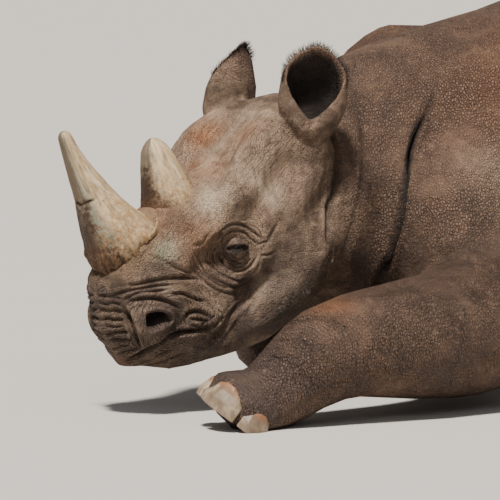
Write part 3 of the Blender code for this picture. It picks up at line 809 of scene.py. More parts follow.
def buildNail(node):
    nail = copyNode(node)
    applyModifier(nail, "DISPLACE", strength=nailPlan["grow"], mid_level=0.0)
    remesh(nail, nailPlan["voxel"])
    applyModifier(nail, "SMOOTH", factor=0.5, iterations=nailPlan["soften"])
    foot = node.replace("nail_", "").rsplit("_", 1)[0]
    down = np.array(nailDown.get(foot, Vector((0.0, 0.0, -1.0))))
    spots = places(nail)
    level = -(spots @ down)
    level = (level - level.min()) / (level.max() - level.min())
    grooves = noiseRows(spots - np.outer(spots @ down, down) * 0.9, 130.0, 5.0, 3)
    rise = nailPlan["groove"] * grooves + nailPlan["rootBand"] * smoothStep(0.72, 0.86, level)
    spots = spots + outward(nail) * rise[:, None]
    spots[:, 2] = np.maximum(spots[:, 2], 0.0)
    setPlaces(nail, spots)
    mark(nail, "level", level)
    nail.name = plainName(node)
    smoothShade(nail)
    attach(nail, "root")
    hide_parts(node)
    return nail


# eyes: a ball with a clear bulge

eyePlan = {"radius": 0.0196, "iris": 42.0, "pupil": 17.0, "bulge": 0.0011}  # iris and pupil in degrees


def buildEye(node):
    side = 1.0 if node == "eye_left" else -1.0
    radius = eyePlan["radius"]
    bpy.ops.mesh.primitive_uv_sphere_add(segments=64, ring_count=48, radius=radius)
    eye = bpy.context.object
    eye.name = plainName(node)
    spots = places(eye)
    angle = np.degrees(np.arccos(np.clip(spots[:, 2] / radius, -1.0, 1.0)))
    bulge = eyePlan["bulge"] * (1.0 - smoothStep(22.0, 38.0, angle))
    back, top, out = eyeAxes(side)
    gaze = (out + top * -0.10 + back * -0.10).normalized()
    turned = np.array(gaze.to_track_quat("Z", "Y").to_matrix())
    spots = spots * (1.0 + bulge / radius)[:, None]
    setPlaces(eye, spots @ turned.T + np.array(eyeCentre(side)))
    mark(eye, "angle", angle)
    smoothShade(eye)
    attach(eye, "root")
    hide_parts(node)
    return eye


horns = [buildHorn(node) for node in hornPlans]
nails = [buildNail(name) for name in nailNames]
eyes = [buildEye("eye_left"), buildEye("eye_right")]
print("horns, nails and eyes built")

# marks on the skin, kept as attributes

earPlan = {
    "height": 0.188,
    "left": (52.0, 12.0, 6.0),  # turn, tilt and lean in degrees
    "right": (64.0, -4.0, 8.0),
    "rays": 22,
    "rayReach": 0.12,
}
# round places on the skin: strength, place on the head, radius, stretch
orangeSpots = [
    (0.9, (0.055, 0.120, 0.010), 0.045), (0.7, (0.030, 0.200, 0.010), 0.040),
    (0.5, (0.100, 0.360, -0.030), 0.050), (0.8, (0.020, 0.400, 0.050), 0.050),
    (0.9, (0.000, 0.612, -0.122), 0.022), (0.7, (0.000, 0.360, 0.040), 0.050),
]
orangeBody = [  # these are placed in the model's own measures
    (1.0, (0.36, -0.975, 0.225), 0.034), (0.5, (0.30, -0.30, 0.62), 0.20), (0.4, (0.40, 0.90, 0.45), 0.20),
]
# pale dust, and painted highlights: the bright spots on the forehead, in front of the temples and on the
# cheeks are painted highlights
paleAndHighlightSpots = [
    (0.90, (0.020, 0.195, 0.010), 0.030), (0.80, (0.078, 0.415, 0.000), 0.030),
    (0.55, (0.085, 0.475, -0.035), 0.020, (1.0, 0.5, 1.6)), (0.85, (0.082, 0.275, -0.015), 0.042),
    (0.35, (0.000, 0.160, 0.000), 0.130, (1.0, 1.0, 0.6)), (0.40, (0.145, 0.300, -0.205), 0.045),
    (0.50, (0.140, 0.200, -0.060), 0.035, (1.0, 0.8, 1.6)),
]
paleBody = [(0.30, (0.33, -0.50, 0.50), 0.08, (0.6, 1.0, 1.2))]
greenSpots = [(1.0, (0.074, 0.425, 0.004), 0.026), (0.7, (0.000, 0.395, 0.045), 0.035)]
# painted shade below the mouth and round the eye
darkSpots = [(0.9, (0.000, 0.610, -0.150), 0.050), (1.0, eyePlace, 0.028)]


def earAxes(side):
    turn, tilt, lean = earPlan["left"] if side > 0 else earPlan["right"]
    turned = Matrix.Rotation(math.radians(side * turn), 3, "Z") @ (
        Matrix.Rotation(math.radians(side * lean), 3, "Y") @ Matrix.Rotation(math.radians(tilt), 3, "X"))
    return headPoint(side * 0.128, 0.048, -0.078), turned


def inEarAxes(spots, side):
    base, turned = earAxes(side)
    return (spots - np.array(base)) @ np.array(turned)


def inEarBox(local, reach, low, high):
    return (np.abs(local[:, :2]) < reach).all(1) & between(local[:, 2], low, high)


def earRim(turn):
    # the rim of the cup in the ear's own axes
    back = (1.0 - math.cos(turn)) / 2.0
    height = earPlan["height"] * (0.26 + 0.74 * back ** 0.72)
    reach = 0.046 + 0.022 * math.sin(turn) ** 2 - 0.008 * back
    return Vector((reach * math.sin(turn), -reach * math.cos(turn) - 0.030 * back + 0.008, height)), back


def rayFan():
    chance = random.Random(5)
    fan = []
    while len(fan) < earPlan["rays"]:
        ray = Vector([chance.uniform(-1.0, 1.0) for axis in range(3)])
        if 0.1 < ray.length < 1.0:
            fan.append(ray.normalized())
    return fan


def earShade(skin, spots):
    # how shut in each part of an ear is, from rays cast round it; the hide uses it for painted shade inside
    # the ear cups
    tree, normals, fan = surfaceTree(skin, spots), outward(skin), rayFan()
    rim = np.array([tuple(earRim(math.pi * step / 40.0)[0]) for step in range(80)])
    made = np.zeros(len(spots))
    for side in (1.0, -1.0):
        local = inEarAxes(spots, side)
        around = inEarBox(local, 0.09, 0.01, 0.24)
        for index in np.nonzero(around)[0]:
            normal = Vector(normals[index])
            start = Vector(spots[index]) + normal * 0.002
            ways = [(normal * 1.1 + ray).normalized() for ray in fan]
            hits = [tree.ray_cast(start, way, earPlan["rayReach"])[0] is not None for way in ways]
            made[index] = sum(hits) / len(fan)
        # inside the cup: faces the middle and lies below the rim
        facing = (normals @ np.array(earAxes(side)[1]))[:, :2]
        reach = local[:, :2] + np.array((0.0, 0.022))
        inward = -(facing * reach).sum(1) / np.maximum(lengths(reach), 0.008)
        cup = np.nonzero(around & (local[:, 2] > 0.035))[0]
        below = np.array([lengths(rim - row).min() for row in local[cup]])
        shut = smoothStep(0.05, 0.55, inward[cup]) * smoothStep(0.004, 0.030, below)
        made[cup] = np.where(inward[cup] > 0.05, 0.30 + 0.42 * shut, made[cup])
    return smoothStep(0.30, 0.66, made)


class SkinMarks:
    # works out every mark from the same rows of places

    def __init__(self, skin):
        self.skin, self.spots = skin, places(skin)
        self.head, self.onLeft = toHead(self.spots), toLeftSide(self.spots)
        self.across, self.along, self.above = self.head.T
        self.x, self.y, self.z = self.onLeft.T
        self.onHead = (self.y < -0.70) & (self.across < 0.24) & (self.along > -0.12)
        self.onFace = self.onHead * smoothStep(-0.05, 0.05, self.along)
        self.onLeg = (1.0 - smoothStep(0.24, 0.34, self.z)) * smoothStep(0.20, 0.28, self.x)
        self.onLeg = self.onLeg * (1.0 - smoothStep(-0.50, -0.30, self.y))

    def blobs(self, spots, rows=None):
        # the strongest of several soft round spots; on the head unless other rows are given
        best = 0.0
        for strength, spot, radius, *stretch in spots:
            away = (self.head if rows is None else rows) - np.array(spot)
            made = strength * bell(lengths(away / np.array(stretch[0] if stretch else 1.0)), radius)
            best = np.maximum(best, np.where(self.onHead, made, 0.0) if rows is None else made)
        return best

    def away(self, spot, scale=(1.0, 1.0, 1.0)):
        return lengths((self.head - np.array(spot)) * np.array(scale))

    def dark(self):
        # the muzzle and the feet are darker in their own colour; under the jaw, below the mouth and round the
        # eyes the darkening is painted shade; the belly is darker low down, towards the floor
        muzzle = smoothStep(0.40, 0.50, self.along) * self.onHead
        jaw = smoothStep(-0.13, -0.20, self.above + 0.10 * (self.along - 0.45)) * self.onHead
        jaw = jaw * smoothStep(0.15, 0.35, self.along)
        belly = (1.0 - smoothStep(0.04, 0.22, self.z)) * smoothStep(-0.70, -0.50, self.y)
        foot = self.onLeg * (1.0 - smoothStep(-1.16, -1.00, self.y))
        return np.maximum.reduce([0.65 * muzzle, 0.65 * jaw, self.blobs(darkSpots), 0.4 * belly, 0.85 * foot])

    def wrinkles(self):
        # the fine wrinkles run along the levels of flow, and are as deep as lined says
        eyeAway = self.away(eyePlace, (0.9, 0.9, 1.15))
        nostrilAway = self.away((0.095, 0.520, -0.105), (0.8, 1.0, 1.0))
        leftLeg, rightLeg = np.array((0.12, -0.93, -0.34)), np.array((0.0, -0.90, -0.42))
        legAlong = np.where(self.spots[:, 0] > 0.0, self.spots @ leftLeg, self.spots @ rightLeg)
        onFace, onLeg = self.onFace, self.onLeg
        nearNose = onFace * (1.0 - smoothStep(0.10, 0.17, nostrilAway))
        nearEye = onFace * (1.0 - smoothStep(0.050, 0.095, eyeAway))
        noseFront = onFace * smoothStep(0.50, 0.54, self.along)
        noseFront = noseFront * (1.0 - smoothStep(0.035, 0.060, self.across))
        flow = self.y * 0.92 - self.z * 0.25
        for part, other in (
            (onLeg, legAlong), (onFace, np.arctan2(self.above + 0.13, self.across + 0.02) * 0.13),
            (nearNose, nostrilAway), (nearEye, eyeAway), (noseFront, -self.above),
        ):
            flow = flow * (1.0 - part) + other * part
        brow = onFace * bell(self.away((0.100, 0.125, -0.025), (0.8, 1.0, 1.0)), 0.105)
        cheek = onFace * bell(self.away((0.14, 0.26, -0.22)), 0.085)
        lined = 0.10 + 0.30 * onLeg + 0.20 * onFace
        lined = np.maximum.reduce([lined, 0.85 * nearNose, 0.70 * nearEye, 0.85 * noseFront, 0.62 * brow])
        return flow, lined * (1.0 - 0.85 * cheek)

    def skirt(self):
        # the rough rings round the horns' feet
        front = bell(np.abs(self.away((0.0, 0.450, 0.045), (1.0, 0.85, 0.8)) - 0.060), 0.020)
        rear = bell(np.abs(self.away((0.0, 0.305, 0.015), (1.0, 0.95, 0.8)) - 0.052), 0.018)
        return np.maximum(front, rear) * self.onFace

    def paint(self):
        smooth = smoothStep(-0.66, -0.82, self.y) * self.onHead * (1.0 - smoothStep(0.40, 0.48, self.along))
        flow, lined = self.wrinkles()
        marks = {
            "face": self.onHead * smoothStep(-0.70, -0.80, self.y) * smoothStep(-0.10, 0.02, self.along),
            "lined": lined,
            "skirt": self.skirt(),
            "orange": np.maximum(self.blobs(orangeSpots), self.blobs(orangeBody, self.onLeft)),
            "pale": np.maximum(self.blobs(paleAndHighlightSpots), self.blobs(paleBody, self.onLeft)),
            "dark": self.dark(),
            "green": self.blobs(greenSpots),
            "smooth": smooth,
            "ear": earShade(self.skin, self.spots),
        }
        for name, values in marks.items():
            mark(self.skin, name, np.clip(values, 0.0, 1.0))
        mark(self.skin, "flow", flow)
        print("skin marked")


SkinMarks(skin).paint()

# unwrap: flat charts by part and by the way the surface faces, the head largest

unwrapPlan = {"head": 2.5, "ear": 1.8, "leg": 1.2, "body": 1.0, "under": 0.35, "gap": 0.006}
bodyPart, headPart, leftForeleg, rightForeleg, leftHindleg, rightHindleg, tailPart = range(7)
earOutside = {1.0: 7, -1.0: 8}
earInside = {1.0: 9, -1.0: 10}


class SkinCharts:
    def __init__(self, skin):
        spots, normals = places(skin), outward(skin)
        faces = skin.data.polygons
        self.tree = surfaceTree(skin, spots)
        shade = np.empty(len(spots))
        skin.data.attributes["ear"].data.foreach_get("value", shade)
        corners = np.empty(len(skin.data.loops), np.int64)
        skin.data.loops.foreach_get("vertex_index", corners)
        totals = np.empty(len(faces), np.int64)
        faces.foreach_get("loop_total", totals)
        owner = np.repeat(np.arange(len(faces)), totals)

        def mean(values):
            return np.bincount(owner, weights=values[corners], minlength=len(faces)) / totals

        middle, facing = [
            np.column_stack([mean(rows[:, axis]) for axis in range(3)]) for rows in (spots, normals)]
        part, frames, dense = self.sortParts(middle, mean(shade))
        self.chart = np.zeros(len(faces), int)
        self.axes, self.low, sizes = [], [], []
        for number, rows in frames.items():
            turned = facing @ rows.T
            side = np.abs(turned).argmax(1)
            sign = np.take_along_axis(turned, side[:, None], 1)[:, 0] > 0
            for axis in range(3):
                for way in (False, True):
                    chosen = (part == number) & (side == axis) & (sign == way)
                    if not chosen.any():
                        continue
                    below = number == bodyPart and axis == 2 and not way
                    scale = unwrapPlan["under" if below else dense[number]]
                    both = np.array([rows[(axis + 1) % 3], rows[(axis + 2) % 3]]) * scale
                    flat = spots[corners[chosen[owner]]] @ both.T
                    self.chart[chosen] = len(self.axes)
                    self.axes.append(both)
                    self.low.append(flat.min(0))
                    sizes.append(flat.max(0) - flat.min(0))
        self.pack(np.array(sizes))
        layer = skin.data.uv_layers.new(name="OFBake")
        layer.data.foreach_set("uv", self.flatten(spots[corners], owner).ravel())
        print("skin unwrapped in", len(self.axes), "charts")

    def sortParts(self, middle, shade):
        x, y, z = middle.T
        hind = (np.abs(x) > 0.35) & (y > 0.30) & (z < 0.22)
        part = np.full(len(middle), bodyPart)
        part[(x > 0.21) & (y < -0.60) & (z < 0.30)] = leftForeleg
        part[(x < -0.20) & (y < -0.15) & (z < 0.24)] = rightForeleg
        part[hind] = leftHindleg
        part[hind & (x < 0.0)] = rightHindleg
        part[(y > 1.12) & (np.abs(x) < 0.16) & (z < 0.45)] = tailPart
        part[(y < -0.76) & (np.abs(x) < 0.21) & (toHead(middle)[:, 1] > -0.05)] = headPart
        frames = {number: np.eye(3) for number in range(7)}
        frames[headPart] = np.array([(1.0, 0.0, 0.0), tuple(-headForward), tuple(headUpward)])
        dense = {number: "leg" for number in frames}
        dense[bodyPart], dense[headPart] = "body", "head"
        for side in (1.0, -1.0):
            inEar = inEarBox(inEarAxes(middle, side), 0.085, 0.02, 0.22)
            for number, chosen in ((earOutside[side], shade < 0.25), (earInside[side], shade >= 0.25)):
                part[inEar & chosen] = number
                frames[number] = np.array(earAxes(side)[1]).T
                dense[number] = "ear"
        return part, frames, dense

    def pack(self, sizes):
        # rows of charts, tallest first, at the largest scale that fits
        order = sorted(range(len(sizes)), key=lambda index: -sizes[index][1])
        low, high = 0.0, 1.0
        gap = unwrapPlan["gap"]
        for attempt in range(40):
            scale = (low + high) / 2.0
            left, bottom, tall, corner = gap, gap, 0.0, {}
            for index in order:
                wide, rise = sizes[index] * scale
                if left + wide + gap > 1.0:
                    left, bottom, tall = gap, bottom + tall + gap, 0.0
                corner[index] = (left, bottom)
                left += wide + gap
                tall = max(tall, rise)
            if bottom + tall + gap <= 1.0 and max(sizes[:, 0]) * scale + 2 * gap <= 1.0:
                low, best = scale, corner
            else:
                high = scale
        self.scale = low
        self.corner = np.array([best[index] for index in range(len(sizes))])

    def flatten(self, points, faces):
        charts = self.chart[faces]
        flat = np.einsum("nij,nj->ni", np.array(self.axes)[charts], points) - np.array(self.low)[charts]
        return flat * self.scale + self.corner[charts]

    def at(self, point):
        hit, normal, face, gap = self.tree.find_nearest(point)
        return hit, normal, self.flatten(np.array([tuple(hit)]), np.array([face]))[0]


charts = SkinCharts(skin)

# hair: tapered spikes in tufts


class Coat:
    def __init__(self, name, seed):
        self.name = name
        self.chance = random.Random(seed)
        self.spots, self.faces, self.marks = [], [], []

    def hair(self, root, way, fall, length, width, flat, steps=4):
        # a three-sided spike that leaves along way and bends towards fall
        way, fall = way.normalized(), fall.normalized()
        side = way.orthogonal().normalized()
        first = len(self.spots)
        place = root - way * 0.0012
        for step in range(steps):
            share = step / steps
            heading = (way * (1.0 - share) + fall * share).normalized()
            across = (side - heading * side.dot(heading)).normalized()
            other = heading.cross(across)
            thick = width * (1.0 - 0.75 * share)
            for corner in range(3):
                turn = 2.0 * math.pi * corner / 3.0
                self.spots.append(place + (across * math.cos(turn) + other * math.sin(turn)) * thick)
                self.marks.append((flat[0] + 0.0012 * (corner - 1), flat[1] + 0.0026 * share))
            place = place + heading * (length / steps)
        self.spots.append(place)
        self.marks.append((flat[0], flat[1] + 0.0026))
        self.faces.append((first + 2, first + 1, first))
        for low in range(first, first + 3 * steps, 3):
            for corner in range(3):
                start, end = low + corner, low + (corner + 1) % 3
                if low == first + 3 * (steps - 1):
                    self.faces.append((start, end, len(self.spots) - 1))
                else:
                    self.faces.append((start, end, end + 3, start + 3))

    def vary(self, spread):
        return Vector([self.chance.gauss(0.0, spread) for axis in range(3)])

    def tuft(self, root, way, fall, length, width, count, spread, steps=4):
        hit, normal, flat = charts.at(root)
        if way is None:
            way = normal
        for each in range(count):
            jitter = self.vary(spread)
            off = self.vary(0.0016)
            off -= normal * off.dot(normal)
            bent = fall + self.vary(spread * 1.3)
            long = length * self.chance.uniform(0.65, 1.1)
            thick = width * self.chance.uniform(0.7, 1.1)
            self.hair(hit + off, way + jitter, bent, long, thick, flat, steps)

    def build(self):
        mesh = bpy.data.meshes.new(self.name)
        rows = np.array([tuple(spot) for spot in self.spots])
        rows[:, 2] = np.maximum(rows[:, 2], 0.0008)
        mesh.from_pydata(rows.tolist(), [], self.faces)
        layer = mesh.uv_layers.new(name="OFBake")
        corners = np.empty(len(mesh.loops), np.int64)
        mesh.loops.foreach_get("vertex_index", corners)
        layer.data.foreach_set("uv", np.array(self.marks)[corners].ravel())
        coat = bpy.data.objects.new(self.name, mesh)
        bpy.context.scene.collection.objects.link(coat)
        smoothShade(coat)
        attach(coat, "root")
        print("hair", self.name, len(self.faces))
        return coat


hairPlan = {
    "fringe": 150,  # tufts on an ear's rim
    "fringeLength": 0.015,
    "innerEar": 50,
    "innerLength": 0.012,
    "tail": 130,
    "tailStart": Vector((0.075, 1.321, 0.120)),
    "tailEnd": Vector((0.104, 1.321, 0.038)),
    "tailLength": 0.075,
    "lashes": 26,  # on each upper lid
    "lashLength": 0.0100,
    "fuzz": 1500,  # tufts on each cheek
    "fuzzLength": 0.0055,
    "cheekReach": 0.165,  # past this the nearest skin is a leg
}


def growEarHair():
    coat = Coat("earHair", 21)
    for side in (1.0, -1.0):
        base, turned = earAxes(side)
        for index in range(hairPlan["fringe"]):
            turn = math.pi * (0.42 + 1.16 * (index + coat.chance.random()) / hairPlan["fringe"])
            rim, back = earRim(turn)
            root = base + turned @ (rim - Vector((0.0, 0.0, 0.004)))
            way = turned @ Vector((math.sin(turn), -math.cos(turn), 0.9)).normalized()
            length = hairPlan["fringeLength"] * (0.45 + 0.75 * back) * coat.chance.uniform(0.7, 1.2)
            coat.tuft(root, way, way + Vector((0.0, 0.25, 0.1)), length, 0.00045, 4, 0.26)
        for index in range(hairPlan["innerEar"]):
            turn = math.pi * (0.45 + 1.10 * coat.chance.random())
            rim, back = earRim(turn)
            rim = Vector((rim.x * 0.80, rim.y * 0.80, rim.z * coat.chance.uniform(0.55, 0.92)))
            way = turned @ Vector((-0.3 * math.sin(turn), -0.8, 0.8))
            coat.tuft(base + turned @ rim, way, way, hairPlan["innerLength"], 0.00040, 3, 0.30, 3)
    return coat.build()


def growTailHair():
    coat = Coat("tailHair", 34)
    start, end = hairPlan["tailStart"], hairPlan["tailEnd"]
    axis = (end - start).normalized()
    across = axis.orthogonal().normalized()
    for index in range(hairPlan["tail"]):
        share = coat.chance.random() ** 0.6
        turn = coat.chance.uniform(0.0, 2.0 * math.pi)
        out = across * math.cos(turn) + axis.cross(across) * math.sin(turn)
        root = start.lerp(end, share) + out * 0.022
        fall = Vector((0.75, -0.10, -0.25)) + out * 0.2
        length = hairPlan["tailLength"] * (0.4 + 0.6 * share)
        coat.tuft(root, axis * 0.8 + out * 0.5, fall, length, 0.0009, 6, 0.16, 5)
    return coat.build()


def growLashes():
    coat = Coat("lashes", 55)
    half = eyeFrame["halfWidth"]
    for side in (1.0, -1.0):
        back, top, out = eyeAxes(side)
        for index in range(hairPlan["lashes"]):
            a = half * (-0.75 + 1.65 * index / (hairPlan["lashes"] - 1.0))
            b = eyeFrame["upper"] * math.sqrt(max(0.0, 1.0 - min(1.0, abs(a) / half) ** 2.2)) + 0.0022
            root = eyeCentre(side) + (out * 0.024 + back * a + top * b).normalized() * (eyeSize + 0.006)
            way = out * 0.9 + top * -0.15 + back * (0.5 * a / half)
            coat.tuft(root, way, way + top * -0.5, hairPlan["lashLength"], 0.00030, 2, 0.10, 3)
    return coat.build()


def growFuzz():
    coat = Coat("cheekFuzz", 89)
    fall = headForward * -0.9 + headUpward * -0.45
    for side in (1.0, -1.0):
        for index in range(hairPlan["fuzz"]):
            along = coat.chance.uniform(0.16, 0.44)
            above = coat.chance.uniform(-0.30, -0.17)
            if along + above * -0.6 > 0.52 or coat.chance.random() < 0.25:
                continue
            root = headPoint(side * 0.20, along, above)
            if abs(charts.at(root)[0].x) < hairPlan["cheekReach"]:
                coat.tuft(root, None, fall, hairPlan["fuzzLength"], 0.00022, 2, 0.20, 2)
    return coat.build()


darkHair = [growEarHair(), growTailHair(), growLashes()]
fuzz = growFuzz()

# materials


class Nodes:
    # short ways to add nodes to one material

    def __init__(self, name, rough, specular=0.5):
        self.material = bpy.data.materials.new(name)
        self.material.use_nodes = True
        self.tree = self.material.node_tree
        self.shader = self.tree.nodes["Principled BSDF"]
        self.set(Roughness=rough, Specular_IOR_Level=specular)
        self.coords = self.tree.nodes.new("ShaderNodeTexCoord").outputs["Object"]

    def set(self, **values):
        for name, value in values.items():
            self.put(self.shader.inputs[name.replace("_", " ")], value)

    def put(self, socket, value):
        if isinstance(value, bpy.types.NodeSocket):
            self.tree.links.new(value, socket)
        elif isinstance(value, tuple) and len(value) == 3 and socket.type == "RGBA":
            socket.default_value = (*value, 1.0)
        else:
            socket.default_value = value

    def add(self, kind, sockets, **settings):
        made = self.tree.nodes.new("ShaderNode" + kind)
        for name, value in settings.items():
            setattr(made, name, value)
        for name, value in sockets.items():
            self.put(made.inputs[name], value)
        return made.outputs

    def attribute(self, name, kind="Fac"):
        return self.add("Attribute", {}, attribute_name=name)[kind]

    def math(self, operation, first, second=0.5, third=0.0, clamp=False):
        return self.add("Math", {0: first, 1: second, 2: third}, operation=operation, use_clamp=clamp)[0]

    def times(self, first, *others):
        for other in others:
            first = self.math("MULTIPLY", first, other)
        return first

    def centred(self, value, spread):
        # a noise value spread evenly about zero
        return self.math("MULTIPLY_ADD", value, spread, -0.5 * spread)

    def plus(self, first, second):
        return self.math("ADD", first, second)

    def scaled(self, vector, scale):
        return self.add("Mapping", {"Vector": vector, "Scale": scale})[0]

    def noise(self, scale, detail=3.0, rough=0.55, vector=None, distort=0.0):
        sockets = {"Scale": scale, "Detail": detail, "Roughness": rough, "Distortion": distort}
        return self.add("TexNoise", {**sockets, "Vector": vector or self.coords})[0]

    def cells(self, scale, feature="DISTANCE_TO_EDGE", vector=None, jitter=1.0):
        sockets = {"Scale": scale, "Randomness": jitter, "Vector": vector or self.coords}
        return self.add("TexVoronoi", sockets, feature=feature)["Distance"]

    def warped(self, vector, scale, amount):
        # pushes the vector about, so that cells differ in size
        drift = self.add("TexNoise", {"Scale": scale, "Vector": vector})["Color"]
        sockets = {0: drift, 1: (amount, amount, amount), 2: vector}
        return self.add("VectorMath", sockets, operation="MULTIPLY_ADD")[0]

    def ramp(self, value, low, high, start=0.0, end=1.0):
        sockets = {"Value": value, "From Min": low, "From Max": high, "To Min": start, "To Max": end}
        return self.add("MapRange", sockets, interpolation_type="SMOOTHSTEP")[0]

    def blend(self, share, first, second):
        return self.add("Mix", {0: share, 6: first, 7: second}, data_type="RGBA")[2]

    def layers(self, colours, colour, *steps):
        # each step is how much of it shows, then its colour's name
        for share, name in steps:
            colour = self.blend(share, colour, colours[name])
        return colour

    def relief(self, *steps):
        # bumps one over another: height, distance in metres, strength
        below = {}
        for height, distance, strength in steps:
            sockets = {"Strength": strength, "Distance": distance, "Height": height}
            below = {"Normal": self.add("Bump", {**sockets, **below})[0]}
        return below["Normal"]

    def finish(self, colour, roughness=None, normal=None):
        self.put(self.shader.inputs["Base Color"], colour)
        if roughness is not None:
            self.set(Roughness=roughness)
        if normal is not None:
            self.set(Normal=normal)
        return self.material


hidePlan = {
    "bodyPebbles": 205.0,  # pebbles to the metre
    "facePebbles": 235.0,
    "wrinkleGap": 0.0072,
    "fineWrinkleGap": 0.0038,
}
hideColours = {
    "face": (0.145, 0.092, 0.064),
    # the dust colours also serve as the painted highlight on the pebble tops
    "faceDust": (0.385, 0.262, 0.178),
    "body": (0.108, 0.064, 0.044),
    "bodyDust": (0.240, 0.146, 0.094),
    # painted shade in creases, wrinkles, cracks and between pebbles
    "deep": (0.020, 0.013, 0.011),
    # a darker tone: own colour on the muzzle and feet, painted shade under the jaw, below the mouth and round
    # the eyes
    "purple": (0.088, 0.062, 0.052),
    "orange": (0.380, 0.150, 0.055),
    # pale dust, and painted highlights on the forehead and cheeks
    "pale": (0.740, 0.590, 0.430),
    "green": (0.300, 0.330, 0.220),
    # painted shade inside the ear cups
    "earInside": (0.010, 0.007, 0.006),
    "skirt": (0.260, 0.165, 0.095),
}


def wrinkleWave(make, gap, drift):
    # sharp valleys that wander along the flow
    wave = make.math("MULTIPLY_ADD", make.attribute("flow"), math.pi / gap, drift)
    return make.math("ABSOLUTE", make.math("SINE", wave))


def hideMaterial():
    make = Nodes("rhinoHide", 0.70, 0.30)
    ramp, times, noise, colours = make.ramp, make.times, make.noise, hideColours
    face, dark, depth = make.attribute("face"), make.attribute("dark"), make.attribute("lined")
    wide = noise(4.2, 4.0, 0.6)
    patchy = noise(15.0, 5.0, 0.65, distort=0.4)
    fine = noise(60.0, 4.0, 0.6)
    # small raised pebbles, drawn out up and down, finer on the face
    drawnOut = make.warped(make.scaled(make.coords, (1.0, 1.0, 0.72)), 13.0, 0.012)
    large = make.cells(hidePlan["bodyPebbles"], vector=drawnOut, jitter=0.85)
    small = make.cells(hidePlan["facePebbles"], vector=make.warped(make.coords, 20.0, 0.006), jitter=0.9)
    cell = make.math("MULTIPLY_ADD", face, make.math("SUBTRACT", small, large), large)
    net = make.cells(34.0, vector=make.scaled(make.coords, (1.0, 0.7, 1.3)))
    lines = noise(52.0, 5.0, 0.6, vector=make.scaled(make.coords, (1.0, 1.0, 2.6)), distort=1.2)
    pebbly = times(
        ramp(make.attribute("smooth"), 0.0, 1.0, 1.0, 0.75), ramp(noise(9.0, 3.0), 0.30, 0.55, 0.45, 1.0))
    first = wrinkleWave(make, hidePlan["wrinkleGap"], times(noise(24.0, 3.0, 0.6), 11.0))
    second = wrinkleWave(make, hidePlan["fineWrinkleGap"], times(noise(46.0, 3.0, 0.6), 9.0))
    furrow = times(ramp(first, 0.0, 0.42, 1.0, 0.0), ramp(noise(34.0, 3.0), 0.36, 0.58), depth)
    furrowFine = times(ramp(second, 0.0, 0.50, 1.0, 0.0), depth)
    dusty = make.math("MULTIPLY_ADD", fine, 0.4, times(patchy, 0.6))
    faceColour = make.blend(ramp(dusty, 0.38, 0.64), colours["face"], colours["faceDust"])
    bodyColour = make.blend(ramp(patchy, 0.36, 0.74, 0.0, 0.65), colours["body"], colours["bodyDust"])
    # painted highlight on the pebble tops, weaker where the dark mark lies
    pebbleHighlight = times(
        ramp(cell, 0.14, 0.34), pebbly, ramp(wide, 0.35, 0.65, 0.06, 0.34), ramp(dark, 0.0, 1.0, 1.0, 0.40))
    # painted shade between the pebbles and along the cracks
    valleyShade = times(ramp(cell, 0.16, 0.0), pebbly, ramp(face, 0.0, 1.0, 0.78, 0.66))
    crackShade = times(ramp(net, 0.0, 0.07, 1.0, 0.0), pebbly, ramp(noise(30.0, 2.0), 0.45, 0.62, 0.0, 0.30))

    def patch(name, low, high, least, most):
        return times(make.attribute(name), ramp(patchy, low, high, least, most))

    colour = make.layers(
        colours, make.blend(face, bodyColour, faceColour),
        # pale dust, and painted highlights on the forehead and cheeks
        (patch("pale", 0.30, 0.62, 0.0, 1.0), "pale"),
        (times(make.attribute("orange"), ramp(wide, 0.30, 0.60, 0.3, 0.9)), "orange"),
        (patch("green", 0.35, 0.60, 0.2, 0.9), "green"),
        # the dark mark: own darker colour on the muzzle and feet, painted shade under the jaw, below the
        # mouth and round the eyes
        (patch("dark", 0.75, 0.35, 0.45, 1.0), "purple"),
        # painted highlight on the pebble tops
        (times(pebbleHighlight, ramp(face, 0.0, 1.0, 1.0, 0.0)), "bodyDust"),
        (times(pebbleHighlight, ramp(face, 0.0, 1.0, 0.0, 0.7)), "faceDust"),
        # painted shade in the pebble valleys, the cracks and the grooves of the lines
        (valleyShade, "deep"),
        (crackShade, "deep"),
        (times(ramp(lines, 0.50, 0.34), 0.18), "deep"),
        (ramp(fine, 0.55, 0.75, 0.0, 0.22), "faceDust"),
        # painted shade in the wrinkle furrows
        (times(furrow, 0.62), "deep"),
        (times(furrowFine, 0.42), "deep"),
        (times(make.attribute("skirt"), ramp(fine, 0.35, 0.60, 0.25, 0.85)), "skirt"),
        # painted shade from the crease mark: creases, eyelids and nostrils
        (make.math("MULTIPLY", make.attribute("crease"), 0.88, clamp=True), "deep"),
        # painted shade inside the ear cups
        (times(make.attribute("ear"), 0.92), "earInside"),
    )
    relief = make.relief(
        (times(ramp(cell, 0.0, 0.30), pebbly, ramp(face, 0.0, 1.0, 1.0, 0.72)), 0.0030, 1.0),
        (times(furrow, -1.0), 0.0034, 1.0),
        (times(furrowFine, -1.0), 0.0018, 1.0),
        (times(ramp(net, 0.0, 0.16), pebbly), 0.0016, 0.45),
        (times(ramp(make.cells(420.0, "F1"), 0.55, 0.10), 0.8), 0.0005, 0.50),
        (lines, 0.0024, 0.35),
        (noise(520.0, 3.0), 0.0005, 0.45),
    )
    return make.finish(colour, ramp(patchy, 0.35, 0.70, 0.60, 0.85), relief)


hornColours = {
    "cream": (0.560, 0.390, 0.215),
    "ivory": (0.820, 0.630, 0.400),
    "grey": (0.130, 0.100, 0.072),
    "ochre": (0.430, 0.215, 0.070),
    "brown": (0.045, 0.022, 0.011),
    "teal": (0.190, 0.240, 0.200),
    "rust": (0.150, 0.075, 0.034),
}


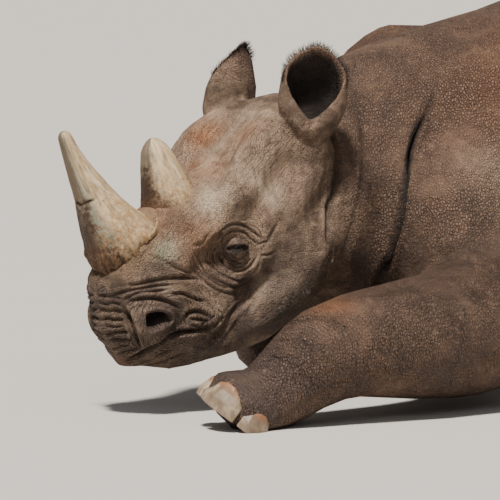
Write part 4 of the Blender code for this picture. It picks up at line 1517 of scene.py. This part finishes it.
def hornMaterial(name, foot, low, high, teal):
    make = Nodes(name, 0.6, 0.4)
    ramp, times, noise, colours = make.ramp, make.times, make.noise, hornColours
    grain, rise = make.attribute("grain", "Vector"), make.attribute("rise")
    strands = noise(7.0, 6.0, 0.65, vector=make.scaled(grain, (1.0, 1.0, 0.07)))
    fineStrands = noise(24.0, 5.0, 0.7, vector=make.scaled(grain, (1.0, 1.0, 0.05)))
    pits = noise(16.0, 5.0, 0.7, vector=grain)
    grime = noise(30.0, 6.0, 0.75)
    flakes = noise(95.0, 5.0, 0.75, distort=0.1)
    level = make.plus(rise, make.centred(grime, 0.34))
    # the side that faces forward and to the right is worn and stained, and is also greyed as painted shade;
    # the other side keeps the pale colour
    worn = make.plus(times(make.attribute("front"), 0.77), times(make.attribute("left"), -0.64))
    worn = make.plus(worn, make.centred(grime, 0.9))
    shaded = ramp(worn, -0.60, 0.15, 0.25, 1.0)
    tealArea = times(ramp(worn, -0.30, 0.10), ramp(worn, 0.55, 0.20), ramp(strands, 0.36, 0.56))
    lowOchre = times(ramp(level, high + 0.10, 0.05), ramp(flakes, 0.42, 0.60, 0.05, 0.80))
    flaked = times(
        ramp(level, 0.16, 0.26), ramp(level, high + 0.04, high - 0.06), ramp(worn, -0.05, 0.45),
        ramp(flakes, 0.42, 0.56))
    footRust = ramp(make.plus(rise, make.centred(flakes, 0.30)), foot, 0.0)
    footDark = times(ramp(rise, foot * 1.4, 0.0), ramp(noise(120.0, 5.0, 0.75), 0.44, 0.56, 0.15, 1.0))
    blotch = noise(2.2, 5.0, 0.6, vector=grain, distort=0.5)
    stains = noise(5.0, 6.0, 0.7, vector=grain, distort=0.8)
    colour = make.layers(
        colours, make.blend(ramp(blotch, 0.36, 0.60), colours["cream"], colours["ivory"]),
        (ramp(stains, 0.46, 0.66, 0.0, 0.55), "grey"),
        (ramp(strands, 0.50, 0.70, 0.0, 0.50), "ochre"),
        # greys the forward-right side: partly wear and stain, partly painted shade
        (times(ramp(worn, 0.00, 0.45), 0.85), "grey"),
        (times(tealArea, teal), "teal"),
        (lowOchre, "ochre"),
        (times(flaked, 0.90), "brown"),
        (times(ramp(level, high, low), ramp(worn, 0.15, 0.70), 0.90), "brown"),
        # the foot's rust and dark are stains, made stronger on the shaded side as painted shade
        (times(footRust, shaded, 0.90), "rust"),
        (times(footDark, shaded, 0.92), "brown"),
        # painted shade in the crack along the ledge
        (times(make.attribute("cracked"), 0.95), "brown"),
        (ramp(fineStrands, 0.50, 0.72, 0.0, 0.50), "brown"),
        (ramp(flakes, 0.60, 0.72, 0.0, 0.55), "brown"),
    )
    relief = make.relief(
        (strands, 0.0040, 0.60),
        (fineStrands, 0.0018, 0.60),
        (times(pits, ramp(level, 0.85, 0.20, 0.3, 1.0)), 0.0040, 0.60),
        (times(flakes, ramp(rise, 0.60, 0.10, 0.3, 1.0)), 0.0040, 0.80),
    )
    return make.finish(colour, ramp(strands, 0.3, 0.7, 0.50, 0.75), relief)


nailColours = {
    "grey": (0.210, 0.155, 0.105),
    "beige": (0.430, 0.330, 0.225),
    "streak": (0.150, 0.100, 0.064),
    "root": (0.250, 0.110, 0.050),
    "worn": (0.300, 0.210, 0.150),
}


def nailMaterial():
    make = Nodes("nailHorn", 0.5, 0.45)
    ramp = make.ramp
    streaks = make.noise(60.0, 4.0, 0.6, vector=make.scaled(make.coords, (1.0, 1.0, 0.25)))
    patchy = make.noise(26.0, 4.0, 0.6)
    edge = make.plus(make.attribute("level"), make.centred(patchy, 0.20))
    colour = make.layers(
        nailColours, make.blend(ramp(patchy, 0.35, 0.65), nailColours["grey"], nailColours["beige"]),
        (ramp(streaks, 0.42, 0.66, 0.0, 0.75), "streak"),
        (ramp(edge, 0.66, 0.88, 0.0, 0.90), "root"),
        (ramp(edge, 0.18, 0.0, 0.0, 0.5), "worn"),
    )
    return make.finish(colour, ramp(patchy, 0.3, 0.7, 0.42, 0.62), make.relief((streaks, 0.0012, 0.5)))


eyeColours = {
    "iris": (0.012, 0.006, 0.004),
    "irisFleck": (0.036, 0.017, 0.008),
    "white": (0.040, 0.020, 0.015),
    "whiteFleck": (0.020, 0.010, 0.007),
    "pupil": (0.004, 0.003, 0.003),
}


def eyeMaterial():
    make = Nodes("eyeGloss", 0.10, 0.35)
    angle = make.attribute("angle")
    flecks = make.noise(420.0, 4.0, 0.6)
    iris = make.blend(make.ramp(flecks, 0.35, 0.65), eyeColours["iris"], eyeColours["irisFleck"])
    white = make.blend(make.ramp(flecks, 0.40, 0.70), eyeColours["white"], eyeColours["whiteFleck"])
    ball = make.blend(make.ramp(angle, eyePlan["iris"] - 3.0, eyePlan["iris"] + 3.0), iris, white)
    pupil = make.ramp(angle, eyePlan["pupil"] + 1.0, eyePlan["pupil"] - 1.0)
    make.set(Coat_Weight=0.15, Coat_Roughness=0.03)
    return make.finish(make.layers(eyeColours, ball, (pupil, "pupil")))


def hairMaterial(name, root, tip):
    make = Nodes(name, 0.55, 0.35)
    shades = make.noise(90.0, 3.0)
    colour = make.blend(make.ramp(shades, 0.35, 0.65), root, tip)
    return make.finish(colour, make.ramp(shades, 0.3, 0.7, 0.45, 0.65))


def dress(material, *pieces):
    for piece in pieces:
        piece.data.materials.clear()
        piece.data.materials.append(material)


dress(hideMaterial(), skin)
dress(hornMaterial("frontHornCoat", foot=0.20, low=0.26, high=0.50, teal=0.70), horns[0])
dress(hornMaterial("rearHornCoat", foot=0.30, low=0.40, high=0.66, teal=0.20), horns[1])
dress(nailMaterial(), *nails)
dress(eyeMaterial(), *eyes)
dress(hairMaterial("darkHair", (0.012, 0.008, 0.006), (0.045, 0.028, 0.020)), *darkHair)
dress(hairMaterial("paleFuzz", (0.300, 0.225, 0.170), (0.500, 0.410, 0.330)), fuzz)
print("materials set")

# floor, light and camera

stagePlan = {
    "floorSize": 400.0,
    "floorColour": (0.60, 0.57, 0.53),
    "sunStrength": 6.2,
    "sunSoft": 7.0,  # degrees
    "sunFrom": (0.34, -0.48, 1.15),
    "sunColour": (1.0, 0.955, 0.89),
    "fillPower": 30.0,
    "fillSize": 2.4,
    "fillFrom": (4.4, -4.2, 3.6),
    "fillAim": (0.0, -0.6, 0.4),
    "world": 0.24,
    "worldColour": (0.93, 0.96, 1.0),
    "backdrop": (0.98, 0.95, 0.90),
}
cameraPlan = {"turn": 50.0, "lift": 4.5, "away": 7.0, "lens": 252.0, "aim": (0.0, -0.869, 0.306)}


def aimPiece(piece, direction, axis):
    piece.rotation_mode = "QUATERNION"
    piece.rotation_quaternion = direction.to_track_quat(axis, "Y")


def layFloor():
    bpy.ops.mesh.primitive_plane_add(size=stagePlan["floorSize"], location=(0.0, 0.0, 0.0))
    floor = bpy.context.object
    floor.name = "floor"
    make = Nodes("paleFloor", 0.9)
    shade = tuple(0.97 * part for part in stagePlan["floorColour"])
    dress(make.finish(make.blend(make.noise(3.0, 3.0), stagePlan["floorColour"], shade)), floor)


def buildWorld():
    # the backdrop seen past the floor is as pale as the floor
    world = bpy.data.worlds.new("studio")
    world.use_nodes = True
    tree = world.node_tree
    glow, seen = tree.nodes["Background"], tree.nodes.new("ShaderNodeBackground")
    glow.inputs["Color"].default_value = (*stagePlan["worldColour"], 1.0)
    glow.inputs["Strength"].default_value = stagePlan["world"]
    seen.inputs["Color"].default_value = (*stagePlan["backdrop"], 1.0)
    choice, path = tree.nodes.new("ShaderNodeMixShader"), tree.nodes.new("ShaderNodeLightPath")
    for index, start in enumerate((path.outputs["Is Camera Ray"], glow.outputs[0], seen.outputs[0])):
        tree.links.new(start, choice.inputs[index])
    tree.links.new(choice.outputs[0], tree.nodes["World Output"].inputs["Surface"])
    bpy.context.scene.world = world


def addLamp(kind, name, spot, power):
    bpy.ops.object.light_add(type=kind, location=spot)
    lamp = bpy.context.object
    lamp.name = name
    lamp.data.energy = power
    return lamp


def hangLights():
    sun = addLamp("SUN", "keyLight", (0.0, 0.0, 6.0), stagePlan["sunStrength"])
    sun.data.angle = math.radians(stagePlan["sunSoft"])
    sun.data.color = stagePlan["sunColour"]
    aimPiece(sun, Vector(stagePlan["sunFrom"]), "Z")
    fill = addLamp("AREA", "fillLight", stagePlan["fillFrom"], stagePlan["fillPower"])
    fill.data.size = stagePlan["fillSize"]
    aimPiece(fill, Vector(stagePlan["fillAim"]) - Vector(stagePlan["fillFrom"]), "-Z")


def placeCamera():
    turn, lift = math.radians(cameraPlan["turn"]), math.radians(cameraPlan["lift"])
    back = Vector((math.sin(turn) * math.cos(lift), -math.cos(turn) * math.cos(lift), math.sin(lift)))
    bpy.ops.object.camera_add(location=Vector(cameraPlan["aim"]) + back * cameraPlan["away"])
    camera = bpy.context.object
    camera.name = "camera"
    aimPiece(camera, -back, "-Z")
    camera.data.sensor_width = 36.0
    camera.data.lens = cameraPlan["lens"]
    camera.data.clip_end = 200.0
    bpy.context.scene.camera = camera


layFloor()
buildWorld()
hangLights()
placeCamera()
print("stage and camera placed")
